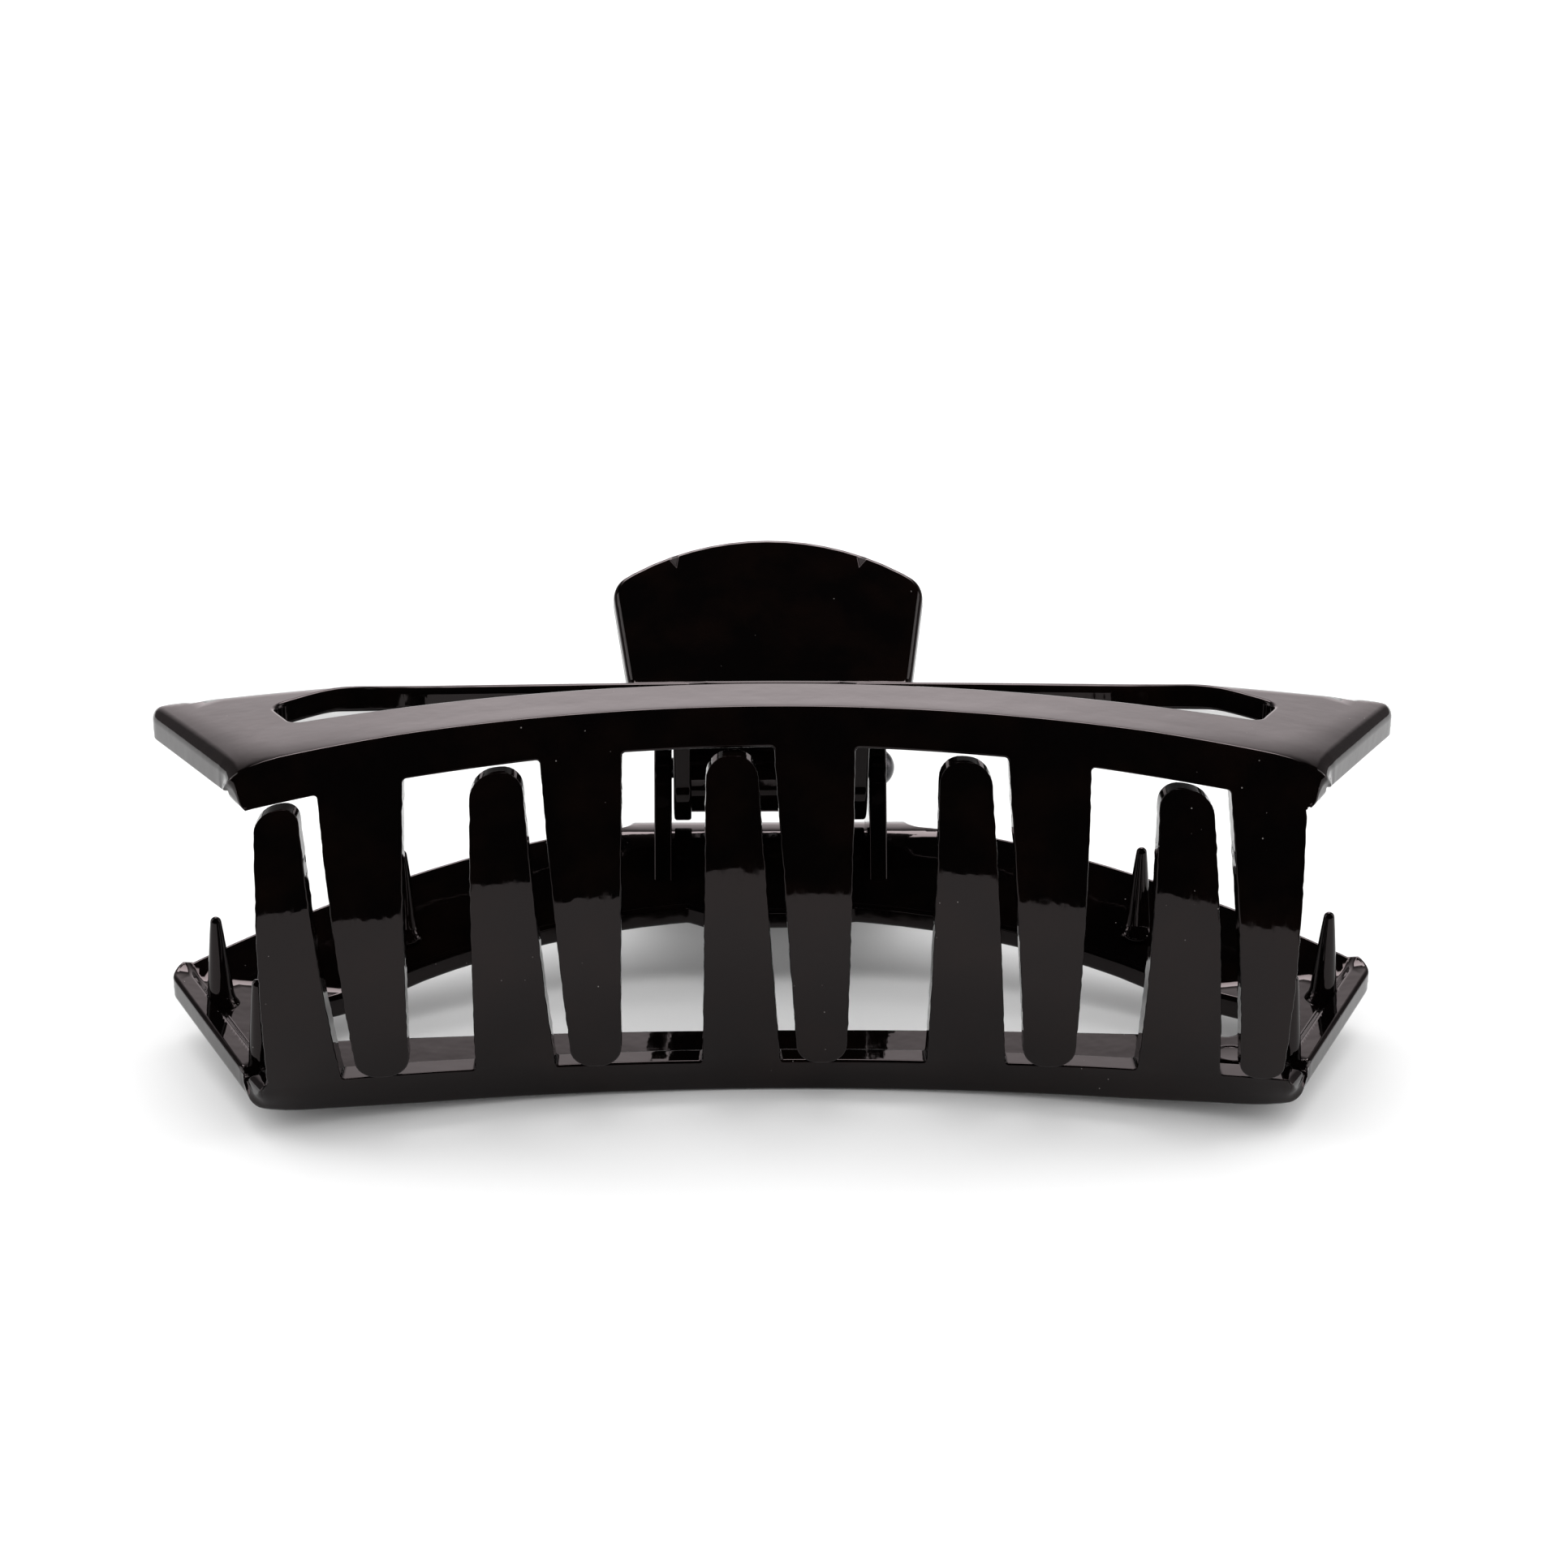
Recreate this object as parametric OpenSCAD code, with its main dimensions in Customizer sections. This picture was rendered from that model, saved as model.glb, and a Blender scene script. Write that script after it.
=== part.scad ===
// Large claw hair clip: two sprung plastic jaws on one steel hinge pin.
// X runs along the jaws, Y from the teeth to the finger tabs and Z up.
// The clip lies on its lower jaw, with the middle of its box over the origin.
// The shapes are drawn about the hinge pin and moved into that frame at the end.

/* [Overall] */
// Length over the ends of the jaws
overall_l = 110; // [92:1:132]
// Thickness over both closed jaws
overall_t = 36.6; // [31:0.2:44]
// Tooth faces to hinge pin, at mid length
front_depth = 33; // [30:0.5:40]
// Hinge pin to the ends of the finger tabs
tab_reach = 17.2; // [14:0.2:21]
// Moulded wall of the jaws
wall = 2.2; // [1.8:0.1:2.6]

/* [Jaw outline] */
// Radius of the gentle arch along each jaw
arch_r = 445; // [380:5:700]
// Radius of the hollow front edge, seen from above
plan_r = 124; // [110:1:220]
// How much further each jaw end reaches at its crease than at the teeth
end_splay = 10; // [6:0.5:12]
// Front edge to the crease across the jaw
crease_back = 12.3; // [9:0.1:15]
// Fall of the flat front strip from its edge to the crease
front_fall = 0.6; // [0.2:0.1:1.5]
// Outward bow of each back edge
back_bow = 2.4; // [0:0.1:4]
// Width of the front bar at mid length
front_bar_w = 7; // [5:0.1:9]
// Width of the bar at each end
end_bar_w = 9.4; // [7:0.1:12]
// Depth of the lip under each jaw end
end_lip_h = 1; // [0.4:0.1:1.6]
// Width of the lip under each jaw end
end_lip_t = 1.8; // [1.2:0.1:2.4]
// Pin to the rear of the slot, at mid length
slot_to_pin = 9.5; // [8:0.1:12]
// Radius of the front edge of the slot
slot_front_r = 170; // [130:1:400]
// Radius of the rear edge of the slot
slot_rear_r = 71; // [60:1:140]

/* [Teeth] */
// Height of the band that the teeth hang from
band_h = 3.4; // [2.4:0.1:5]
// Radius of the bowed tooth faces, seen from the end
face_r = 55; // [40:1:90]
// Forward lean of each jaw's tooth tips
tip_lead = 1; // [0.6:0.1:1.6]
// Width of a tooth at the band
tooth_w = 6.9; // [5.5:0.1:7.5]
// Taper on the side of a tooth that faces its partner
pair_taper = 2.2; // [1.5:0.1:2.6]
// Taper on the other side
outer_taper = 0.4; // [0:0.1:0.8]
// How much narrower the last tooth of each jaw is
end_trim = 0.9; // [0:0.1:1.2]
// Shift of the upper teeth from the middle
tooth_shift = 3.1; // [2.6:0.1:3.4]
// Band left beyond a full-width last tooth
tooth_margin = 0.4; // [0.3:0.1:2]
// Extra spread of the three middle teeth
middle_spread = 0.8; // [0:0.1:1.2]
// Thickness of a tooth at its tip
tip_wall = 1.6; // [1.2:0.1:2]
// Gap from the tooth tips to the facing band
tip_gap = 0.3; // [0.2:0.05:0.6]

/* [Finger tabs] */
// Width of a tab where it leaves the hinge
tab_root_w = 27; // [25:0.5:30]
// Width of a tab at its corners
tab_w = 31; // [28:0.5:34]
// Radius of the bowed end of a tab
tab_end_r = 26; // [20:1:60]
// How far the tab ends stay inside the jaw faces
tab_inset = 0.3; // [0.1:0.1:2]

/* [Hinge] */
// Diameter of the hinge pin
pin_d = 2; // [1.6:0.1:2.4]
// Running clearance of the pin in the upper ears, on the radius
pin_play = 0.05; // [0.02:0.01:0.1]
// Diameter of the domed pin head
pin_head_d = 3.3; // [2.8:0.1:4]
// Height of the domed pin head
pin_head_h = 0.9; // [0.6:0.1:1.2]
// Radius of the lower ears round the pin
ear_r = 3; // [2.4:0.1:3.4]
// Radius of the deeper upper ears round the pin
nose_r = 5.1; // [3:0.1:5.1]
// Thickness of an ear
ear_t = 1.7; // [1.4:0.1:2.2]
// Outside width over the lower ears
ear_span = 22.4; // [20:0.2:24]
// Side gap between an upper and a lower ear
ear_gap = 0.2; // [0.2:0.05:0.5]
// Pin to the front foot of the ears
ear_foot = 8.2; // [6.5:0.1:9]
// Outside radius of the curved guard in front of the spring
guard_r = 4.3; // [4.1:0.1:4.6]
// Thickness of the guard
guard_t = 0.9; // [0.8:0.1:1.1]
// Gap from the pin centre to the inner wall at the waist
waist_h = 5.5; // [5.2:0.1:6.5]

/* [Spring] */
// Spring wire diameter
wire_d = 1; // [0.8:0.05:1.1]
// Mean diameter of the coil
coil_d = 5.2; // [4.6:0.1:5.4]
// Whole turns of the coil
coil_turns = 10; // [6:1:11]
// Pin to the tip of each spring leg, along Y
leg_reach = 12; // [9:0.5:13]

/* [Spikes] */
// Height of the hair spikes on the lower jaw
spike_h = 8.4; // [5:0.2:9]
// Diameter of a spike at its foot
spike_d = 2.4; // [2:0.1:3]
// Diameter of a spike at its tip
spike_tip_d = 1; // [0.8:0.1:1.4]

/* [Hidden] */
$fn = 64;
black = [0.07, 0.065, 0.07];
steel = [0.62, 0.62, 0.64];

half_l = overall_l / 2;
half_t = overall_t / 2;
front_y = -front_depth;
front_half = half_l - end_splay;        // half length of the tooth band
edge_set = 1;                           // plate edge behind the tooth face
crease_y = front_y + crease_back;
fall = front_fall / (crease_back - edge_set); // slope of the front strip
overrun = 12;                           // plate drawn this far past its front edge, then trimmed
corner_r = 2.4;                         // round of the outer corners of a jaw
tab_corner_r = 2;                       // round of the tab corners
crease_r = 5;                           // mid-wall radius of the crease
waist_r = 4.5;                          // mid-wall radius of the waist
root_z = half_t - band_h;               // lower edge of the band at mid length
seg = 12;                               // straight steps in a long plan curve
slack = 1;                              // overlap of pieces that are fused

// Height that the arch has dropped at distance x from the middle
function arch_drop(x) = arch_r - sqrt(arch_r * arch_r - x * x);
// Depth of a hollow of radius r at distance x from the middle
function hollow(x, r) = r - sqrt(r * r - x * x);

function unit(v) = v / norm(v);
function left(v) = [-v[1], v[0]];
function turned(v, a) = [v[0] * cos(a) - v[1] * sin(a), v[0] * sin(a) + v[1] * cos(a)];
function flip_list(v) = [for (i = [len(v) - 1:-1:0]) v[i]];

// Round bend of radius r at b on the way from a to c, as [point, left normal] pairs
function bend(a, b, c, r, n = 6) =
    let (u = unit(b - a), w = unit(c - b))
    let (turn = atan2(u[0] * w[1] - u[1] * w[0], u * w))
    let (side = turn < 0 ? -1 : 1)
    let (start = b - r * abs(tan(turn / 2)) * u)
    let (middle = start + side * r * left(u))
    [for (i = [0:n]) let (q = turned(left(u), turn * i / n)) [middle - side * r * q, q]];

// Closed outline from corners given as [x, y, radius]
function rounded(p) =
    [for (i = [0:len(p) - 1])
        let (a = p[(i + len(p) - 1) % len(p)], b = p[i], c = p[(i + 1) % len(p)])
        let (a2 = [a[0], a[1]], b2 = [b[0], b[1]], c2 = [c[0], c[1]])
        each b[2] > 0 ? [for (q = bend(a2, b2, c2, b[2], 5)) q[0]] : [b2]];

// Points strictly between a and b on an arc that stands s proud of the straight line, on its right
function bow(a, b, s, n) =
    let (c = norm(b - a), r = c * c / 8 / s + s / 2)
    let (u = unit(b - a), o = (a + b) / 2 + left(u) * (r - s), half = asin(c / 2 / r))
    [for (i = [1:n - 1]) o - r * turned(left(u), -half + 2 * half * i / n)];

// Mid-wall line of the upper jaw, seen from its end: front strip, crease, waist and tab
mid_front = [front_y - overrun, half_t - wall / 2 + fall * (overrun + edge_set)];
mid_crease = [crease_y, half_t - wall / 2 - front_fall];
mid_waist = [0, waist_h + wall / 2];
tab_angle = atan2(half_t - tab_inset - waist_h - wall, tab_reach);
mid_end = mid_waist + (tab_reach + slack) / cos(tab_angle) * [cos(tab_angle), sin(tab_angle)];
mid_line = [
    [mid_front, left(unit(mid_crease - mid_front))],
    each bend(mid_front, mid_crease, mid_waist, crease_r),
    each bend(mid_crease, mid_waist, mid_end, waist_r),
    [mid_end, left(unit(mid_end - mid_waist))]
];
outer_line = [for (q = mid_line) q[0] + wall / 2 * q[1]];
inner_line = [for (q = mid_line) q[0] - wall / 2 * q[1]];
wall_section = concat(outer_line, flip_list(inner_line));
skin_section = concat(outer_line, [[mid_end[0], -half_t], [mid_front[0], -half_t]]);

// Height of the mid-wall line over y, at mid length
function mid_z(y, i = 1) =
    y <= mid_line[i][0][0] || i == len(mid_line) - 1
        ? let (a = mid_line[i - 1][0], b = mid_line[i][0]) a[1] + (b[1] - a[1]) * (y - a[0]) / (b[0] - a[0])
        : mid_z(y, i + 1);
// Height of the inner wall over a point of the plate, allowing for the slope of the plate there
function inner_z(x, y) =
    let (rise = mid_z(y + 0.5) - mid_z(y - 0.5))
    mid_z(y) - arch_drop(x) - wall / 2 * norm([1, rise]);

// Plan outline of a jaw, right half from the front middle round to the tab end
corner_front = [front_half, front_y + edge_set - hollow(front_half, plan_r)];
tab_foot = [tab_root_w / 2, 0];
// How far the sharp corner at c must stand out for its round to end at the full length
function corner_out(c) =
    let (u = unit(c - corner_front), w = unit(bow(c, tab_foot, back_bow, seg)[0] - c))
    corner_r * ((u[1] + w[1]) / (1 + u * w) - 1);
corner_first = [half_l + corner_out([half_l, crease_y]), crease_y];
corner_back = [half_l + corner_out(corner_first), crease_y];
end_way = unit(corner_back - corner_front);
tab_corner = [tab_w / 2, tab_reach - hollow(tab_w / 2, tab_end_r)];
right_half = [
    for (i = [0:seg - 1]) let (x = front_half * i / seg) [x, front_y + edge_set - hollow(x, plan_r), 0],
    [corner_front[0], corner_front[1], 0.8],
    [corner_back[0], corner_back[1], corner_r],
    for (q = bow(corner_back, tab_foot, back_bow, seg)) [q[0], q[1], 0],
    [tab_foot[0], tab_foot[1], 1.2],
    [tab_corner[0], tab_corner[1], tab_corner_r],
    for (i = [1:5]) let (x = tab_corner[0] * (1 - i / 6)) [x, tab_reach - hollow(x, tab_end_r), 0],
    [0, tab_reach, 0]
];
function mirrored(p) = [for (i = [len(p) - 2:-1:1]) [-p[i][0], p[i][1], p[i][2]]];
outline = rounded(concat(right_half, mirrored(right_half)));

// Slot through the plate, right half from the front middle to the rear middle
slot_front_y = front_y + edge_set + front_bar_w;
slot_half = half_l - end_bar_w - 1.6;   // slot half length at its rear corners
slot_front_x = slot_half - 2.6;         // and at its front corners
tongue_w = 14;                          // hub tongue that stands into the slot
tongue_h = 1;
slot_right = [
    for (i = [0:seg - 1])
        let (x = slot_front_x * i / seg) [x, slot_front_y - hollow(x, slot_front_r), 0],
    [slot_front_x, slot_front_y - hollow(slot_front_x, slot_front_r), 1],
    [slot_half, -slot_to_pin - hollow(slot_half, slot_rear_r), 1],
    for (i = [1:seg - 2])
        let (x = slot_half + (tongue_w / 2 + 0.8 - slot_half) * i / (seg - 2))
        [x, -slot_to_pin - hollow(x, slot_rear_r), 0],
    [tongue_w / 2, -slot_to_pin - tongue_h, 0],
    [0, -slot_to_pin - tongue_h, 0]
];
slot = rounded(concat(slot_right, mirrored(slot_right)));

// Teeth of the upper jaw, seen from the front; the lower jaw's are the same, turned over
pitch = (front_half - tooth_margin - tooth_w / 2 - tooth_shift) / 2;
tooth_at = [for (i = [-2:2]) tooth_shift + i * pitch + (abs(i) == 1 ? i * middle_spread : 0)];
function tip_z(x) = -(root_z - arch_drop(x)) + tip_gap;
function tooth_outline(x, trim) =
    let (l = x - tooth_w / 2, r = x + tooth_w / 2 - trim, z = tip_z(x))
    let (top = root_z - arch_drop(x) + slack, tip_r = (tooth_w - trim - pair_taper - outer_taper) * 0.46)
    rounded([[l, top, 0], [l + pair_taper, z, tip_r], [r - outer_taper, z, tip_r], [r, top, 0]]);

// Tooth face: circle through the band edge and the leading tips
face_chord = [tip_lead, 2 * root_z - tip_gap];
face_mid = [-tip_lead / 2, tip_gap / 2];
face_o = face_mid + sqrt(face_r * face_r - face_chord * face_chord / 4) * unit([face_chord[1], -face_chord[0]]);
tip_sine = (tip_z(0) - face_o[1]) / face_r;
root_sine = (root_z - face_o[1]) / face_r;
back_shift = (wall - tip_wall) / (root_sine - tip_sine);
back_r = face_r - wall + back_shift * root_sine;

// Hinge
pin_r = pin_d / 2;
low_ear_x = ear_span / 2 - ear_t;       // inner face of a lower ear
up_ear_x = low_ear_x - ear_gap - ear_t; // inner face of an upper ear
coil_r = coil_d / 2;
wire_r = wire_d / 2;
coil_half = up_ear_x - wire_r - 0.3;    // end of the coil's wire centre line

// Where the frame's origin lies, seen from the hinge pin
last_tooth = tooth_at[4] + tooth_w / 2 - end_trim - outer_taper / 2;
belly = face_r - face_o[0];             // how far the tooth faces bow forward
y_min = -front_depth - plan_r + sqrt(pow(plan_r - belly, 2) - pow(last_tooth, 2));
y_mid = (y_min + tab_reach) / 2;

module placed() { translate([0, -y_mid, half_t]) children(); }
// Section seen from the end, [y, z], swept along the arch
module arched(section) {
    sweep = 2 * asin((half_l + slack) / (arch_r - half_t)) + 2;
    translate([0, 0, half_t - arch_r])
    rotate([-90, 0, 0])
    rotate([0, 0, -90 - sweep / 2])
    rotate_extrude(angle = sweep, $fn = 360)
    polygon([for (p = section) [p[1] + arch_r - half_t, p[0]]]);
}
// Section seen from the end, [y, z], swept straight along X
module straight(w) { rotate([90, 0, 90]) translate([0, 0, -w / 2]) linear_extrude(w) children(); }
// Plan shape carried through the whole height
module through() { translate([0, 0, -half_t]) linear_extrude(overall_t) children(); }
module in_front(y) { translate([-half_l - slack, y - 200, -half_t - slack]) cube([overall_l + 2, 200, overall_t + 2]); }

// Curved plate with its slot, from the teeth to the waist
module plate() {
    intersection() {
        arched(wall_section);
        through() difference() {
            polygon(outline);
            polygon(slot);
        }
        in_front(0);
    }
}
// Lip that stiffens the underside of each jaw end
module end_lips() {
    lip_line = [for (q = inner_line) q - [0, end_lip_h]];
    for (s = [0, 1]) mirror([s, 0, 0]) intersection() {
        arched(concat(outer_line, flip_list(lip_line)));
        through() intersection() {
            polygon(outline);
            polygon([
                corner_front - 3 * end_way,
                corner_back + 3 * end_way,
                corner_back + 3 * end_way + end_lip_t * left(end_way),
                corner_front - 3 * end_way + end_lip_t * left(end_way)
            ]);
        }
    }
}
// Flat finger tab behind the waist
module tab() {
    difference() {
        intersection() {
            straight(tab_w + 2) polygon(wall_section);
            through() polygon(outline);
        }
        in_front(-0.05);
    }
}
// Bowed band and teeth, hollow along the front
module tooth_row() {
    sweep = 2 * asin((front_half + 2) / (plan_r - 4));
    intersection() {
        translate([0, front_y - plan_r, 0])
        rotate([0, 0, 90 - sweep / 2])
        rotate_extrude(angle = sweep, $fn = 360)
        translate([plan_r, 0])
        intersection() {
            difference() {
                translate(face_o) circle(face_r, $fn = 180);
                translate(face_o + [0, -back_shift]) circle(back_r, $fn = 180);
            }
            translate([-8, -half_t]) square([20, overall_t + 1]);
        }
        rotate([90, 0, 0]) linear_extrude(front_depth * 4, center = true) {
            difference() {
                translate([-front_half, root_z - 12]) square([2 * front_half, 24]);
                translate([0, root_z - arch_r]) circle(arch_r, $fn = 720);
            }
            for (i = [0:4]) polygon(tooth_outline(tooth_at[i], i == 4 ? end_trim : 0));
        }
        arched(skin_section);
    }
}
module jaw_shell() {
    plate();
    end_lips();
    tab();
    tooth_row();
}
// Pair of ears with their inner faces at x
module ears(x, r) {
    for (s = [-1, 1]) translate([s * (x + ear_t / 2), 0, 0]) straight(ear_t) {
        circle(r);
        polygon([
            [-r, 0],
            for (i = [0:10]) let (y = -ear_foot + (ear_foot + r + 2) * i / 10) [y, mid_z(y)],
            [r, 0]
        ]);
    }
}
// Curved guard that keeps hair out of the spring
module guard() {
    straight(2 * up_ear_x + slack) difference() {
        union() {
            circle(guard_r);
            translate([-guard_r, 0]) square([guard_r - 1, mid_z(-guard_r / 2) - 0.3]);
        }
        circle(guard_r - guard_t);
        translate([-1, -2 * guard_r]) square([3 * guard_r, 4 * guard_r]);
    }
}
// Low ribs on the inside of a tab that hold a spring leg from sliding
module leg_ribs(x) {
    rib_h = 1.1;
    rib_t = 0.6;
    for (s = [-1, 1])
    translate([x + s * (wire_r + 0.2 + rib_t / 2), 0, 0])
    straight(rib_t)
    translate(mid_waist) rotate(tab_angle)
    translate([leg_reach - 4, -wall / 2 - rib_h]) square([5.5, rib_h + wall / 2]);
}
module pin_hole(r) { rotate([0, 90, 0]) cylinder(r = r, h = ear_span + 4, center = true); }
// Hair spikes, at their places on the lower jaw
spike_at = [
    [half_l - 4.8, crease_y - 3.9],
    [half_l - 20.5, crease_y + 6.5],
    [front_half, front_y - 2.2]
];
module spikes() {
    r = spike_d / 2;
    t = spike_tip_d / 2;
    root = 0.65 * wall;                 // depth of the foot inside the wall
    flare = 0.3;                        // round where a spike meets the wall
    for (p = spike_at) for (s = [-1, 1])
    translate([s * p[0], p[1], inner_z(p[0], p[1])]) rotate([180, 0, 0])
    rotate_extrude($fn = 48)
    polygon([
        [0, -root],
        [r + flare, -root],
        [r + flare, 0],
        [r + flare / 4, flare],
        [r - 0.1, 3 * flare],
        for (a = [0:18:72]) [t * cos(a), spike_h - t + t * sin(a)],
        [0, spike_h]
    ]);
}
// Small round moulding mark beside one front corner
module mould_mark() {
    p = [-front_half + 4.6, front_y - 0.6];
    translate([p[0], p[1], inner_z(p[0], p[1]) - 0.35]) cylinder(d = 3.4, h = 1);
}

module upper_jaw() {
    color(black) placed() difference() {
        union() {
            jaw_shell();
            ears(up_ear_x, min(nose_r, waist_h - 0.35));
            guard();
            leg_ribs(-coil_half);
        }
        pin_hole(pin_r + pin_play);
    }
}
module lower_jaw() {
    color(black) placed() rotate([0, 180, 0]) difference() {
        union() {
            jaw_shell();
            ears(low_ear_x, ear_r);
            leg_ribs(-coil_half);
            spikes();
            mould_mark();
        }
        pin_hole(pin_r);
    }
}
module hinge_pin() {
    color(steel) placed() rotate([0, 90, 0]) {
        translate([0, 0, -ear_span / 2]) cylinder(r = pin_r, h = ear_span);
        translate([0, 0, ear_span / 2]) intersection() {
            dome_r = (pin_head_d * pin_head_d / 4 + pin_head_h * pin_head_h) / 2 / pin_head_h;
            translate([0, 0, pin_head_h - dome_r]) sphere(dome_r, $fn = 64);
            cylinder(d = pin_head_d, h = pin_head_h + 1);
        }
    }
}

// Spring: a leg on the upper tab, the coil round the pin, a leg on the lower tab
leg_tip = mid_waist + leg_reach / cos(tab_angle) * [cos(tab_angle), sin(tab_angle)]
    - (wall / 2 + wire_r + 0.06) * left([cos(tab_angle), sin(tab_angle)]);
leave = atan2(leg_tip[1], leg_tip[0]) + acos(coil_r / norm(leg_tip)); // angle where the coil starts
sweep_all = 360 * (coil_turns + 1) - 2 * leave;
coil_steps = 16 * coil_turns;
coil_path = [for (i = [0:coil_steps])
    let (a = leave + sweep_all * i / coil_steps)
    [-coil_half + 2 * coil_half * i / coil_steps, coil_r * cos(a), coil_r * sin(a)]];
spring_path = concat(
    [[-coil_half, leg_tip[0], leg_tip[1]]],
    coil_path,
    [[coil_half, leg_tip[0], -leg_tip[1]]]
);
// Round bar swept along a path, as one closed polyhedron
module swept(path, r, sides = 8) {
    last = len(path) - 1;
    function ring(i) =
        let (t = unit(path[min(i + 1, last)] - path[max(i - 1, 0)]))
        let (a = unit(cross(t, [1, 0, 0])), b = cross(t, a))
        [for (k = [0:sides - 1]) path[i] + r * (a * cos(360 * k / sides) + b * sin(360 * k / sides))];
    points = [for (i = [0:last]) each ring(i)];
    skin = [for (i = [0:last - 1]) for (k = [0:sides - 1])
        let (n = (k + 1) % sides)
        [i * sides + k, i * sides + n, (i + 1) * sides + n, (i + 1) * sides + k]];
    polyhedron(points, concat(
        [[for (k = [sides - 1:-1:0]) k]],
        skin,
        [[for (k = [0:sides - 1]) last * sides + k]]
    ));
}
module torsion_spring() { color(steel) placed() swept(spring_path, wire_r); }

upper_jaw();
lower_jaw();
hinge_pin();
torsion_spring();
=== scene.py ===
import math
import bpy
import numpy as np
from mathutils import Vector, Matrix
from mathutils.geometry import delaunay_2d_cdt

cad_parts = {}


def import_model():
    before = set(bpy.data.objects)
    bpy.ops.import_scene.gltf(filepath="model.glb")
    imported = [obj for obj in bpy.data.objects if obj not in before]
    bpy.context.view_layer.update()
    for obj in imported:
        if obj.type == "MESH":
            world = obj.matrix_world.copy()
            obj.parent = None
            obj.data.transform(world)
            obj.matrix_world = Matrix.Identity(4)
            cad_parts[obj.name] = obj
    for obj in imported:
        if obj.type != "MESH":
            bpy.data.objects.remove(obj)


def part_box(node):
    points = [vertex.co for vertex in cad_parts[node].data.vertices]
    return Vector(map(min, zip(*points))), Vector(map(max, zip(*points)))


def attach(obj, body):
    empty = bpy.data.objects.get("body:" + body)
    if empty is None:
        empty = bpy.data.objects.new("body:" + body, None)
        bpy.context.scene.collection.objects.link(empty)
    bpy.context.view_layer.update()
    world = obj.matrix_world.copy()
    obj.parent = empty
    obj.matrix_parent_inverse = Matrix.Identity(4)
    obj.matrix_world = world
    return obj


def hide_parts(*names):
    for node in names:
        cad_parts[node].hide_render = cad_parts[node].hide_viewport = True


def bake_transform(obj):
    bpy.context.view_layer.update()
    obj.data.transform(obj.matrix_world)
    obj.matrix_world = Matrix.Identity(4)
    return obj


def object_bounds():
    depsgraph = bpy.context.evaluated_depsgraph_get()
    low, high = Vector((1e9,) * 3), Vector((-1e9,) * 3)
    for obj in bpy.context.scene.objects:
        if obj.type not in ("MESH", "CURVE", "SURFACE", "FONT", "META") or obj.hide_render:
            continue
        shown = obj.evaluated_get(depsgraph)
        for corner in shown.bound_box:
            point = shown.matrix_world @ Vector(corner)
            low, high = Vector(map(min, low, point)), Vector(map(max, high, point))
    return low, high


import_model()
CAD_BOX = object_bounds()
MM = 0.001

# The hinge axis and the clip's half thickness, read from the imported model, and its half length, given, in
# millimetres
PIN_LO, PIN_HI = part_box("hinge_pin")
JAW_LO, JAW_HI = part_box("upper_jaw")
PIN_Y = (PIN_LO.y + PIN_HI.y) / 2 / MM
PIN_Z = (PIN_LO.z + PIN_HI.z) / 2 / MM
HALF_T = JAW_HI.z / MM - PIN_Z
HALF_L = 54.96

# Shared sizes of the two jaws, in millimetres from the hinge axis
WALL = 2.2
ARCH_R = 445.0
PLAN_R = 124.0
FRONT_Y = -33.0
EDGE = 1.0
FRONT_HALF = 45.0
CREASE_Y = FRONT_Y + 12.3
FRONT_FALL = 0.6
FALL = FRONT_FALL / (12.3 - EDGE)
ROOT_Z = HALF_T - 3.4
FACE_R = 55.0
TIP_LEAD = 1.0
TIP_GAP = 0.3
TIP_WALL = 1.6
WAIST_H = 5.5
TAB_REACH = 17.2
TAB_INSET = 0.3
TOOTH_W = 6.9
PAIR_TAPER = 2.2
OUTER_TAPER = 0.4
TOOTH_SHIFT = 3.1
END_TRIM = 0.9
EAR_T = 1.7
EAR_SPAN = 22.4
EAR_GAP = 0.2
EAR_R = 3.0
NOSE_R = 5.1
PIN_R = 1.0
LOW_EAR = EAR_SPAN / 2 - EAR_T
UP_EAR = LOW_EAR - EAR_GAP - EAR_T
COIL_R = 2.6
WIRE_R = 0.5
COIL_HALF = UP_EAR - WIRE_R - 0.3

# The outline from above: jaw end, finger tab and hair slot
END_R = 2.4
REAR_BOW = 2.4
TAB_FOOT = 13.5
TAB_FOOT_R = 1.6
TAB_HALF = 15.5
TAB_CORNER_R = 2.2
TAB_REAR_R = 26.0
SLOT_DEPTH = 7.0
SLOT_INSET = 9.4
SLOT_END_R = 1.6
SLOT_FRONT_R = 170.0
SLOT_REAR_R = 71.0
SLOT_REAR_Y = -9.5
SLOT_STEP_Y = -10.5

# Rounds of the comb
TIP_ROUND = 0.46
ROOT_ROUND = 0.35
PAIR_SHIFT = 0.8

# Guard round the coil, hair spikes and the pin's head
GUARD_R = 4.3
GUARD_T = 0.9
GUARD_RISE = 4.0
GUARD_SLOPE = 0.25
SPIKE_R = 1.2
SPIKE_TIP_R = 0.5
SPIKE_H = 8.4
HEAD_R = 1.65
HEAD_H = 0.9


# ---------- plane geometry ----------
def unit(v):
    v = np.asarray(v, float)
    return v / np.linalg.norm(v)


def turned(v, a):
    c, s = math.cos(a), math.sin(a)
    return np.array([v[0] * c - v[1] * s, v[0] * s + v[1] * c])


def left(v):
    return np.array([-v[1], v[0]])


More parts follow.
